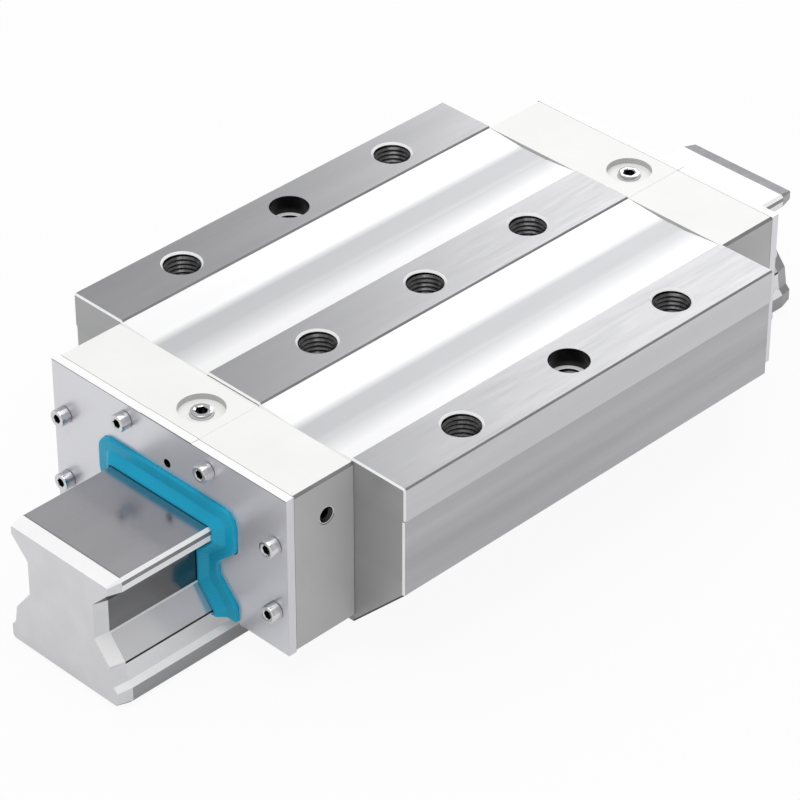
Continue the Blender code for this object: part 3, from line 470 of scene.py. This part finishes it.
def softened(piece, width=EDGE_BEVEL, segments=2):
    """Breaks a piece's sharp edges; flat faces keep their flat shading."""
    bevel = piece.modifiers.new("edges", "BEVEL")
    bevel.width = width
    bevel.segments = segments
    bevel.limit_method = "ANGLE"
    bevel.angle_limit = BEVEL_ANGLE
    bevel.use_clamp_overlap = True
    applied(piece)
    for face in piece.data.polygons:
        if face.area > FLAT_AREA:
            face.use_smooth = False
    return piece


def turned(bm, profile, matrix, facets=FINE_FACETS):
    """Adds a solid about local Z; the profile is (radius or hex half width, height, is hex)."""
    rings = []
    sixth = math.pi / 3
    for size, height, is_hex in profile:
        ring = []
        for i in range(facets):
            angle = 2 * math.pi * i / facets
            radius = size / math.cos((angle % sixth) - sixth / 2) if is_hex else size
            place = Vector((radius * math.cos(angle), radius * math.sin(angle), height))
            ring.append(bm.verts.new(matrix @ place))
        rings.append(ring)
    for ring, following in zip(rings, rings[1:]):
        for i in range(facets):
            j = (i + 1) % facets
            bm.faces.new((ring[i], ring[j], following[j], following[i]))
    bm.faces.new(rings[0])
    bm.faces.new(list(reversed(rings[-1])))


def round_profile(*pairs):
    """Profile of plain round rings."""
    return [(radius, height, False) for radius, height in pairs]


def facing(place, direction):
    """Matrix that puts local Z along a direction at a place."""
    return Matrix.Translation(place) @ Vector(direction).to_track_quat("Z", "Y").to_matrix().to_4x4()


def table_holes():
    """Kind, X and Y of the nine holes in the table face."""
    for column in (-1, 0, 1):
        for place in (-1, 0, 1):
            kind = "blind" if not column else "through" if place else "stepped"
            yield kind, column * HOLE_ACROSS, place * HOLE_ALONG


def round_table_holes(body):
    """Recuts the upper part of the table holes with fine round walls."""
    fill = bmesh.new()
    cutter = bmesh.new()
    over = STRIP_CHAMFER
    for kind, x, y in table_holes():
        place = Matrix.Translation((x, y, BLOCK_TOP_Z))
        turned(fill, round_profile((REFILL_RADIUS, -REFILL_DEPTH), (REFILL_RADIUS, 0.0)), place)
        if kind == "stepped":
            rings = round_profile(
                (STEPPED_HOLE_RADIUS, -REFILL_DEPTH - over), (STEPPED_HOLE_RADIUS, -STEPPED_DEPTH),
                (STEPPED_RADIUS, -STEPPED_DEPTH), (STEPPED_RADIUS, over))
        else:
            chamfer = TAPPED_MOUTH - TAPPED_RADIUS
            rings = round_profile(
                (TAPPED_RADIUS, -REFILL_DEPTH - over), (TAPPED_RADIUS, -chamfer),
                (TAPPED_MOUTH, 0.0), (TAPPED_MOUTH, over))
        turned(cutter, rings, place)
    boolean(body, new_piece("fill", fill), "UNION")
    boolean(body, new_piece("cutter", cutter), "DIFFERENCE")


def smooth_troughs(body):
    """Adds lines along the troughs, so that their creases shade softly."""
    bm = bmesh.new()
    bm.from_mesh(body.data)
    for side in (-1, 1):
        middle = side * TROUGH_MIDDLE
        for offset in TROUGH_LINES:
            faces = [
                f for f in bm.faces
                if f.normal.z > SQUARE_ON and f.calc_center_median().z < BLOCK_TOP_Z - STRIP_CHAMFER / 2
                and f.calc_center_median().z > BLOCK_TOP_Z - 2 * TROUGH_DEPTH
                and abs(f.calc_center_median().x - middle) < TROUGH_MIDDLE / 2 + TROUGH_BOTTOM_HALF
            ]
            parts = set(faces)
            for face in faces:
                parts.update(face.edges)
                parts.update(face.verts)
            bmesh.ops.bisect_plane(
                bm, geom=list(parts), dist=WELD, plane_co=(middle + offset, 0, 0), plane_no=(1, 0, 0))
    bm.to_mesh(body.data)
    bm.free()


def paint(piece, finishes, choose):
    """Gives each face the finish that a rule picks from its centre and normal."""
    give(piece, *finishes)
    order = {finish: i for i, finish in enumerate(finishes)}
    for face in piece.data.polygons:
        face.material_index = order[choose(face.center, face.normal)]


def near_hole(centre):
    """Distance of a point from the axis of the nearest table hole."""
    return min(math.hypot(centre.x - x, centre.y - y) for _, x, y in table_holes())


def body_finish(centre, normal):
    """Finish of each face of the steel body; upward chamfers and hole mouths get a painted highlight, side
    chamfers a painted shade line, and hole walls, downward faces and the channel over the rail painted
    shade.
    """
    low = BLOCK_TOP_Z - centre.z
    if near_hole(centre) < REFILL_RADIUS and low < REFILL_DEPTH + STRIP_CHAMFER:
        if normal.z > HOLE_LEVEL and low < GAP:
            return "strip"
        if normal.z > MOSTLY:
            return "bright"
        return "dark"
    if abs(centre.y) > BLOCK_END - STRIP_CHAMFER:
        if abs(normal.y) > SQUARE_ON:
            return "end"
        return "bright" if normal.z > -LEAN else "dark"
    if normal.z > EDGE_TILT and low < STRIP_CHAMFER:
        if normal.z > STRIP_LEVEL and low < GAP:
            return "strip"
        return "painted_shade_line" if abs(normal.x) > EDGE_TILT else "bright"
    if normal.z > MOSTLY and low < 2 * TROUGH_DEPTH:
        return "trough"
    if abs(centre.x) > OUTER_STRIP_INNER and abs(normal.x) > SQUARE_ON:
        return "band" if centre.z > SIDE_BAND_BOTTOM_Z else "side"
    if abs(centre.x) > OUTER_STRIP_INNER:
        return "dark" if normal.z < -SLOPE else "under"
    return "dark" if centre.z > RAIL_FOOT_TOP_Z else "under"


def make_body():
    """Steel body with round holes, soft troughs and fine edges."""
    body = copy_of("runner_block_body", "steel_body")
    round_table_holes(body)
    smooth_troughs(body)
    softened(body)
    finishes = ("strip", "trough", "band", "side", "end", "under", "bright", "painted_shade_line", "dark")
    paint(body, finishes, body_finish)
    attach(body, "block")
    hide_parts("runner_block_body")


def make_threads():
    """Helical threads in the tapped table holes."""
    for i, (kind, x, y) in enumerate(table_holes()):
        radius = STEPPED_HOLE_RADIUS if kind == "stepped" else TAPPED_RADIUS
        above = STEPPED_DEPTH if kind == "stepped" else TAPPED_MOUTH - TAPPED_RADIUS
        top = BLOCK_TOP_Z - above - GAP
        root = radius - THREAD_ROOT_GAP
        crest = radius - THREAD_HEIGHT
        bm = bmesh.new()
        steps = THREAD_TURNS * FINE_FACETS
        profile = tuple(zip((root, crest, crest, root), THREAD_SHARES))
        columns = []
        for step in range(steps + 1):
            angle = 2 * math.pi * step / FINE_FACETS
            z = top - THREAD_PITCH * (1 + step / FINE_FACETS)
            columns.append([
                bm.verts.new((x + r * math.cos(angle), y + r * math.sin(angle), z + share * THREAD_PITCH))
                for r, share in profile
            ])
        for column, following in zip(columns, columns[1:]):
            for a, b, c, d in zip(column, column[1:], following[1:], following):
                bm.faces.new((a, b, c, d))
        thread = new_piece(f"table_thread_{i + 1}", bm)
        # The threads' darkened steel is painted shade inside the holes
        give(thread, "thread")
        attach(thread, "block")


def rail_finish(centre, normal):
    """Finish of each face of the rail; the top chamfers, the lower head side, a band above the foot slope,
    the step and some lead-in faces get a painted highlight, the upper head side and lines at the lead-in
    and foot painted shade lines, downward faces painted shade, and the neck its darker shaded copy.
    """
    if abs(normal.y) > SQUARE_ON:
        return "rail_end"
    if normal.z < -SLOPE:
        return "dark"
    if normal.z > RAIL_LEVEL and centre.z > RAIL_HEIGHT - GAP:
        return "painted_shade_line" if abs(centre.y) > LEAD_IN_START - PAINTED_LINE_WIDTH else "rail"
    if normal.y > TILT:
        return "rail_base"
    if normal.y < -TILT:
        on_top = centre.z > RAIL_HEAD_EDGE_Z and normal.z > SLOPE
        on_foot = RAIL_FOOT_TOP_Z + GAP < centre.z < RAIL_NECK_BOTTOM_Z
        on_step = RAIL_STEP_Z - GAP < centre.z < RAIL_FOOT_BOTTOM_Z
        return "bright" if on_top or on_foot or on_step else "rail_end"
    if centre.z > RAIL_HEIGHT - RAIL_TOP_CHAMFER:
        return "bright"
    if centre.z > RAIL_HEAD_EDGE_Z:
        return "painted_shade_line" if centre.z > RAIL_LIP_Z else "bright"
    if centre.z > RAIL_NECK_BOTTOM_Z - GAP:
        return "rail_neck_painted_shade"
    if centre.z > RAIL_NECK_BOTTOM_Z - PAINTED_LINE_WIDTH or centre.z <= RAIL_STEP_Z - GAP:
        return "bright" if centre.z > RAIL_STEP_Z else "rail_base"
    if RAIL_FOOT_TOP_Z - PAINTED_LINE_WIDTH < centre.z < RAIL_FOOT_TOP_Z + GAP:
        return "dark"
    return "runway" if centre.z > RAIL_FOOT_BOTTOM_Z else "bright"


def make_rail():
    """Rail with fine edges, its ground, polished and plain faces, and bands of painted highlight and
    shade.
    """
    rail = copy_of("guide_rail", "rail_bar")
    upright = (0, 0, 1)
    along = (0, 1, 0)
    # Planes that bound the bands of painted highlight and shade
    cuts = (
        ((0, 0, RAIL_LIP_Z), upright),
        ((0, 0, RAIL_NECK_BOTTOM_Z - PAINTED_LINE_WIDTH), upright),
        ((0, 0, RAIL_FOOT_TOP_Z + GAP), upright),
        ((0, 0, RAIL_FOOT_TOP_Z - PAINTED_LINE_WIDTH), upright),
        ((0, PAINTED_LINE_WIDTH - LEAD_IN_START, 0), along),
        ((0, LEAD_IN_START - PAINTED_LINE_WIDTH, 0), along),
    )
    scored(rail, cuts)
    softened(rail, RAIL_BEVEL)
    finishes = ("rail", "rail_end", "rail_neck_painted_shade", "runway", "rail_base", "bright", "painted_shade_line", "dark")
    paint(rail, finishes, rail_finish)
    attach(rail, "rail")
    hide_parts("guide_rail")


def cap_finish(centre, normal):
    """Finish of each face of an end cap: off-white tops, the other faces a darker copy of the plastic as
    painted shade, and painted shade lines on the side chamfers.
    """
    if abs(centre.x) > CAP_SIDE - CAP_SHADE_LINE_REACH and EDGE_TILT < normal.z < SQUARE_ON:
        return "painted_shade_line"
    return "cap" if normal.z > MOSTLY else "cap_painted_side_shade"


def make_caps():
    """End caps with fine round recesses and ports."""
    over = STRIP_CHAMFER
    for end_name, end in ENDS:
        node = f"end_cap_{end_name}"
        cap = copy_of(node, f"cap_moulding_{end_name}")
        recess = Matrix.Translation((0.0, end * RECESS_Y, CAP_TOP_Z))
        fill = bmesh.new()
        turned(fill, round_profile(
            (RECESS_RADIUS + over, -PLUG_REFILL_DEPTH), (RECESS_RADIUS + over, 0.0)), recess)
        cutter = bmesh.new()
        turned(cutter, round_profile(
            (PLUG_RADIUS + GAP, -PLUG_REFILL_DEPTH - over), (PLUG_RADIUS + GAP, -RECESS_DEPTH),
            (RECESS_RADIUS, -RECESS_DEPTH), (RECESS_RADIUS, over)), recess)
        for _, side in SIDES:
            mouth = facing((side * CAP_SIDE, end * PORT_Y, PORT_Z), (side, 0, 0))
            turned(fill, round_profile(
                (PORT_MOUTH + over, -PORT_REFILL), (PORT_MOUTH + over, 0.0)), mouth)
            chamfer = PORT_MOUTH - PORT_RADIUS
            turned(cutter, round_profile(
                (PORT_RADIUS, -PORT_REFILL - over), (PORT_RADIUS, -chamfer),
                (PORT_MOUTH, 0.0), (PORT_MOUTH, over)), mouth)
        boolean(cap, new_piece("fill", fill), "UNION")
        boolean(cap, new_piece("cutter", cutter), "DIFFERENCE")
        softened(cap, CAP_BEVEL)
        paint(cap, ("cap", "cap_painted_side_shade", "painted_shade_line"), cap_finish)
        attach(cap, "block")
        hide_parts(node)


def make_port_rings():
    """Threaded inserts in the side ports of the caps, with a painted highlight on the mouth and painted
    shade inside.
    """
    for end_name, end in ENDS:
        for side_name, side in SIDES:
            bm = bmesh.new()
            chamfer = PORT_MOUTH - PORT_RADIUS
            inner = PORT_RADIUS - INSERT_WALL
            matrix = facing((side * CAP_SIDE, end * PORT_Y, PORT_Z), (side, 0, 0))
            rings = (
                (PORT_RADIUS - GAP, -PORT_REFILL), (PORT_RADIUS - GAP, -chamfer - GAP),
                (PORT_MOUTH - GAP, -2 * GAP), (PORT_MOUTH - INSERT_RIM, -2 * GAP),
                (inner, -chamfer - GAP), (inner, -PORT_REFILL))
            loops = []
            for radius, height in rings:
                loops.append([
                    bm.verts.new(matrix @ Vector((
                        radius * math.cos(2 * math.pi * i / SMALL_FACETS),
                        radius * math.sin(2 * math.pi * i / SMALL_FACETS), height)))
                    for i in range(SMALL_FACETS)
                ])
            for n, loop in enumerate(loops):
                following = loops[(n + 1) % len(loops)]
                for i in range(SMALL_FACETS):
                    j = (i + 1) % SMALL_FACETS
                    bm.faces.new((loop[i], loop[j], following[j], following[i]))
            ring = new_piece(f"port_insert_{end_name}_{side_name}", bm)
            # The mouth gets the painted highlight, the bore painted shade
            give(ring, "bright", "dark")
            for face in ring.data.polygons:
                if math.hypot(face.center.y - end * PORT_Y, face.center.z - PORT_Z) < PORT_RADIUS + GAP:
                    face.material_index = 1
            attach(ring, "block")


def plate_finish(centre, normal):
    """Finish of each face of a front plate; the vent's wall gets painted shade, the top a painted
    highlight, and a band along the top of the face and the chamfers painted shade lines.
    """
    if math.hypot(centre.x, centre.z - VENT_Z) < VENT_SHADE_REACH:
        return "dark" if abs(normal.y) < MOSTLY else "plate"
    if abs(normal.y) > SQUARE_ON and centre.z > PLATE_TOP - PAINTED_LINE_WIDTH:
        return "painted_shade_line"
    if normal.z > SQUARE_ON:
        return "bright"
    return "painted_shade_line" if EDGE_TILT < abs(normal.y) < SQUARE_ON else "plate"


def make_plates():
    """Front plates with fine edges, a painted highlight on top and painted shade lines."""
    for end_name, _ in ENDS:
        node = f"front_plate_{end_name}"
        plate = copy_of(node, f"plate_sheet_{end_name}")
        # A line that bounds the painted shade line along the top of the face
        scored(plate, [((0, 0, PLATE_TOP - PAINTED_LINE_WIDTH), (0, 0, 1))])
        softened(plate, PLATE_BEVEL)
        paint(plate, ("plate", "bright", "painted_shade_line", "dark"), plate_finish)
        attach(plate, "block")
        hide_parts(node)


def make_screws():
    """Socket cap screws with rounded heads and hexagon sockets."""
    bm = bmesh.new()
    head = SCREW_HEAD_RADIUS
    top = SCREW_HEAD_HEIGHT
    socket = SCREW_SOCKET_HALF
    profile = [
        (SCREW_SHANK_RADIUS, -SCREW_SHANK, False),
        (SCREW_SHANK_RADIUS, 0.0, False),
        (head - HEAD_FOOT_EDGE, 0.0, False),
        (head, HEAD_FOOT_EDGE, False),
        (head, top - HEAD_ROUND, False),
        (head - HEAD_ROUND_STEP, top - HEAD_ROUND_STEP, False),
        (head - HEAD_ROUND, top, False),
        (socket + SOCKET_RIM, top, False),
        (socket, top - SOCKET_CHAMFER, True),
        (socket, top - SCREW_SOCKET_DEPTH, True),
    ]
    turned(bm, profile, Matrix.Identity(4), SMALL_FACETS)
    pattern = new_piece("screw_pattern", bm)
    # The socket faces get painted shade
    give(pattern, "screw", "dark")
    for face in pattern.data.polygons:
        if math.hypot(face.center.x, face.center.y) < socket * SOCKET_SHADE_REACH and face.center.z > 0:
            face.material_index = 1
    for end_name, end in ENDS:
        for i in range(SCREWS_PER_PLATE):
            node = f"plate_screw_{end_name}_{i + 1}"
            low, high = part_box(node)
            seat = PLATE_OUTER + GAP
            screw = pattern.copy()
            screw.name = f"cap_screw_{end_name}_{i + 1}"
            bpy.context.scene.collection.objects.link(screw)
            middle = (low + high) / 2
            screw.matrix_world = facing((middle.x, end * seat, middle.z), (0, end, 0))
            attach(screw, "block")
            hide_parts(node)
    bpy.data.objects.remove(pattern)


def make_plugs():
    """Socket grub screws in the recesses on top of the caps."""
    for end_name, end in ENDS:
        node = f"lube_plug_{end_name}"
        bm = bmesh.new()
        top = PLUG_LENGTH
        profile = [
            (PLUG_RADIUS - PLUG_FOOT_CHAMFER, 0.0, False),
            (PLUG_RADIUS, PLUG_FOOT_CHAMFER, False),
            (PLUG_RADIUS, top - HEAD_ROUND, False),
            (PLUG_RADIUS - PLUG_ROUND, top - HEAD_ROUND_STEP, False),
            (PLUG_RADIUS - PLUG_TOP_ROUND, top, False),
            (PLUG_SOCKET_HALF + PLUG_SOCKET_RIM, top, False),
            (PLUG_SOCKET_HALF, top - SOCKET_CHAMFER, True),
            (PLUG_SOCKET_HALF, top - PLUG_SOCKET_DEPTH, True),
        ]
        bottom = CAP_TOP_Z - RECESS_DEPTH + PLUG_RISE - PLUG_LENGTH
        turned(bm, profile, Matrix.Translation((0.0, end * RECESS_Y, bottom)), SMALL_FACETS)
        plug = new_piece(f"grub_screw_{end_name}", bm)
        # The socket faces get painted shade
        give(plug, "screw", "dark")
        for face in plug.data.polygons:
            reach = math.hypot(face.center.x, face.center.y - end * RECESS_Y)
            if reach < PLUG_SOCKET_HALF * SOCKET_SHADE_REACH:
                face.material_index = 1
        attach(plug, "block")
        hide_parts(node)


def rounded(points, radii):
    """Rounds the corners of an open run of points; the two ends stay."""
    run = [points[0]]
    for before, here, after, radius in zip(points, points[1:], points[2:], radii[1:]):
        here = Vector(here)
        back = (Vector(before) - here).normalized()
        ahead = (Vector(after) - here).normalized()
        half_angle = back.angle(ahead) / 2
        start = here + back * (radius / math.tan(half_angle))
        end = here + ahead * (radius / math.tan(half_angle))
        centre = here + (back + ahead).normalized() * (radius / math.sin(half_angle))
        turn = (start - centre).angle_signed(end - centre)
        for step in range(CORNER_FACETS + 1):
            arm = start - centre
            arm.rotate(Matrix.Rotation(-turn * step / CORNER_FACETS, 2))
            run.append(tuple(centre + arm))
    run.append(points[-1])
    return run


def seal_path(share):
    """Run of points round the rail: share 0 is the lip at the rail, 1 the outer rim."""
    neck_in = RAIL_NECK_HALF + GAP
    head_in = RAIL_HEAD_HALF + GAP
    slack = GAP * math.tan(math.pi / 8)
    foot_slope = math.atan2(RAIL_NECK_BOTTOM_Z - RAIL_FOOT_TOP_Z, RAIL_FOOT_HALF - RAIL_NECK_HALF)
    foot_slack = GAP * math.tan((math.pi / 2 - foot_slope) / 2)
    share_down = (RAIL_FOOT_TOP_Z - SEAL_BOTTOM_Z) / (RAIL_FOOT_TOP_Z - RAIL_FOOT_BOTTOM_Z)
    bottom_in = RAIL_FOOT_HALF + (RAIL_FOOT_BOTTOM_HALF - RAIL_FOOT_HALF) * share_down + GAP
    foot = (RAIL_FOOT_HALF + GAP, RAIL_FOOT_TOP_Z + foot_slack)
    neck_low = (neck_in, RAIL_NECK_BOTTOM_Z + foot_slack)
    neck_high = (neck_in, RAIL_NECK_TOP_Z - slack)
    edge = (head_in, RAIL_HEAD_EDGE_Z - slack)
    head_z = RAIL_HEIGHT + GAP
    inside = [(bottom_in, SEAL_BOTTOM_Z), foot, neck_low, neck_high, edge, (head_in, head_z)]
    outside = [
        (foot[0] + SEAL_SIDE_BAND, SEAL_BOTTOM_Z),
        (foot[0] + SEAL_SIDE_BAND, foot[1] + SEAL_FOOT_RISE),
        (neck_low[0] + SEAL_NECK_BAND, neck_low[1] + SEAL_FOOT_RISE),
        (neck_high[0] + SEAL_NECK_BAND, neck_high[1] - SEAL_HEAD_DROP),
        (edge[0] + SEAL_SIDE_BAND, edge[1] - SEAL_HEAD_DROP),
        (edge[0] + SEAL_SIDE_BAND, head_z + SEAL_TOP_BAND),
    ]
    small = RAIL_TOP_CHAMFER / 2
    radii_in = [0.0] + [small] * 5
    radii_out = [0.0] + [SEAL_SMALL_CORNER] * 4 + [SEAL_CORNER]
    half = [
        (a[0] + (b[0] - a[0]) * share, a[1] + (b[1] - a[1]) * share)
        for a, b in zip(inside, outside)
    ]
    radii = [a + (b - a) * share for a, b in zip(radii_in, radii_out)]
    points = half + [(-x, z) for x, z in reversed(half)]
    return rounded(points, radii + list(reversed(radii)))


def make_seals():
    """End seals with a rounded rim and a lip that rises to the rail."""
    for end_name, end in ENDS:
        bm = bmesh.new()
        runs = []
        for share, reach in SEAL_SECTION:
            y = end * (PLATE_INNER + reach * MM)
            runs.append([bm.verts.new((x, y, z)) for x, z in seal_path(share)])
        for i, run in enumerate(runs):
            following = runs[(i + 1) % len(runs)]
            for a, b, c, d in zip(run, run[1:], following[1:], following):
                bm.faces.new((a, b, c, d))
        bm.faces.new([run[0] for run in runs])
        bm.faces.new([run[-1] for run in reversed(runs)])
        seal = new_piece(f"wiper_seal_{end_name}", bm)
        give(seal, "seal")
        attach(seal, "block")
        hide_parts(f"end_seal_{end_name}")


def make_roller_trains():
    """The rollers between the four solid ones of each row."""
    profile = round_profile(
        (ROLLER_RADIUS - ROLLER_CHAMFER, -ROLLER_LENGTH / 2),
        (ROLLER_RADIUS, -ROLLER_LENGTH / 2 + ROLLER_CHAMFER),
        (ROLLER_RADIUS, ROLLER_LENGTH / 2 - ROLLER_CHAMFER),
        (ROLLER_RADIUS - ROLLER_CHAMFER, ROLLER_LENGTH / 2))
    for side_name, side in SIDES:
        for level in ("upper", "lower"):
            bm = bmesh.new()
            centres = []
            for i in range(ROLLER_STATIONS):
                low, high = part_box(f"roller_{side_name}_{level}_{i + 1}")
                centres.append((low + high) / 2)
            if level == "upper":
                rise, run = RAIL_HEAD_EDGE_Z - RAIL_NECK_TOP_Z, RAIL_HEAD_HALF - RAIL_NECK_HALF
            else:
                rise, run = RAIL_FOOT_TOP_Z - RAIL_NECK_BOTTOM_Z, RAIL_FOOT_HALF - RAIL_NECK_HALF
            direction = (side * run, 0.0, rise)
            pitch = (centres[1].y - centres[0].y) / (ROLLERS_BETWEEN + 1)
            count = (ROLLER_STATIONS - 1) * (ROLLERS_BETWEEN + 1)
            for i in range(-ROLLERS_PAST_END, count + ROLLERS_PAST_END + 1):
                if i % (ROLLERS_BETWEEN + 1) or not 0 <= i <= count:
                    place = centres[0] + Vector((0.0, pitch * i, 0.0))
                    turned(bm, profile, facing(place, direction), ROLLER_FACETS)
            train = new_piece(f"roller_train_{side_name}_{level}", bm)
            give(train, "roller")
            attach(train, "block")


def dress_nodes():
    """Finishes for the CAD nodes that keep their own shape."""
    for name, node in NODES.items():
        if name.startswith(("bearing_plate", "roller_left", "roller_right")):
            give(node, "roller")
        elif name.startswith("leg_seal"):
            give(node, "seal")
        elif name.startswith(("return_tube", "deflector", "roller_retainer")):
            give(node, "guide")


def make_camera():
    """The photograph's camera."""
    data = bpy.data.cameras.new("camera")
    data.sensor_width = SENSOR_WIDTH
    data.lens = SENSOR_WIDTH * FOCAL_PIXELS / PHOTO_PIXELS
    data.clip_start = CLIP_NEAR
    data.clip_end = CLIP_FAR
    made = bpy.data.objects.new("camera", data)
    bpy.context.scene.collection.objects.link(made)
    back = Vector((
        math.sin(CAMERA_AZIMUTH) * math.cos(CAMERA_ELEVATION),
        -math.cos(CAMERA_AZIMUTH) * math.cos(CAMERA_ELEVATION),
        math.sin(CAMERA_ELEVATION),
    ))
    right = Vector((0, 0, 1)).cross(back).normalized()
    up = back.cross(right)
    turn = Matrix((right, up, back)).transposed().to_4x4()
    made.matrix_world = Matrix.Translation(CAMERA_PLACE) @ turn
    bpy.context.scene.camera = made


def area_light(name, place, aim, size, power):
    """A soft rectangular lamp that faces a point."""
    data = bpy.data.lights.new(name, "AREA")
    data.shape = "RECTANGLE"
    data.size, data.size_y = size
    data.energy = power
    made = bpy.data.objects.new(name, data)
    bpy.context.scene.collection.objects.link(made)
    made.location = place
    made.rotation_mode = "QUATERNION"
    made.rotation_quaternion = (Vector(aim) - Vector(place)).to_track_quat("-Z", "Y")


def make_light():
    """Plain, evenly pale room with two soft lamps, one overhead and one behind."""
    world = bpy.data.worlds.new("world")
    bpy.context.scene.world = world
    world.use_nodes = True
    tree = world.node_tree
    shade = tree.nodes["Background"]
    path = tree.nodes.new("ShaderNodeLightPath")
    seen = tree.nodes.new("ShaderNodeMath")
    seen.operation = "MAXIMUM"
    link(tree, path.outputs["Is Camera Ray"], seen.inputs[0])
    link(tree, path.outputs["Is Transmission Ray"], seen.inputs[1])
    shade.inputs["Color"].default_value = (1.0, 1.0, 1.0, 1.0)
    strength = remap(tree, seen.outputs["Value"], ROOM_STRENGTH, 1.0, 0.0, 1.0)
    link(tree, strength, shade.inputs["Strength"])
    area_light("overhead", OVERHEAD_PLACE, LAMP_AIM, OVERHEAD_SIZE, OVERHEAD_POWER)
    area_light("behind", BEHIND_PLACE, BEHIND_AIM, BEHIND_SIZE, BEHIND_POWER)


def make_floor():
    """White floor that keeps a soft shadow."""
    bm = bmesh.new()
    bmesh.ops.create_grid(bm, x_segments=1, y_segments=1, size=FLOOR_SIZE)
    floor = new_piece("floor", bm)
    floor.location.z = -FLOOR_DROP
    made = bpy.data.materials.new("floor_white")
    made.use_nodes = True
    tree = made.node_tree
    shader = tree.nodes["Principled BSDF"]
    shader.inputs["Base Color"].default_value = (FLOOR_TONE, FLOOR_TONE, FLOOR_TONE, 1.0)
    shader.inputs["Roughness"].default_value = FLOOR_ROUGHNESS
    glow = tree.nodes.new("ShaderNodeEmission")
    path = tree.nodes.new("ShaderNodeLightPath")
    share = tree.nodes.new("ShaderNodeMath")
    share.operation = "MULTIPLY_ADD"
    share.inputs[1].default_value = FLOOR_GLOW
    link(tree, path.outputs["Is Camera Ray"], share.inputs[0])
    mirrored = tree.nodes.new("ShaderNodeMath")
    mirrored.operation = "MULTIPLY"
    mirrored.inputs[1].default_value = FLOOR_MIRRORED_GLOW
    link(tree, path.outputs["Is Glossy Ray"], mirrored.inputs[0])
    link(tree, mirrored.outputs["Value"], share.inputs[2])
    mix = tree.nodes.new("ShaderNodeMixShader")
    link(tree, share.outputs["Value"], mix.inputs["Fac"])
    link(tree, shader.outputs["BSDF"], mix.inputs[1])
    link(tree, glow.outputs["Emission"], mix.inputs[2])
    link(tree, mix.outputs["Shader"], tree.nodes["Material Output"].inputs["Surface"])
    floor.data.materials.append(made)


def main():
    """Dresses the frame."""
    make_camera()
    make_light()
    make_floor()
    make_rail()
    make_body()
    make_threads()
    make_caps()
    make_port_rings()
    make_plates()
    make_screws()
    make_plugs()
    make_seals()
    make_roller_trains()
    dress_nodes()


main()
bpy.context.scene.view_settings.view_transform = "Standard"
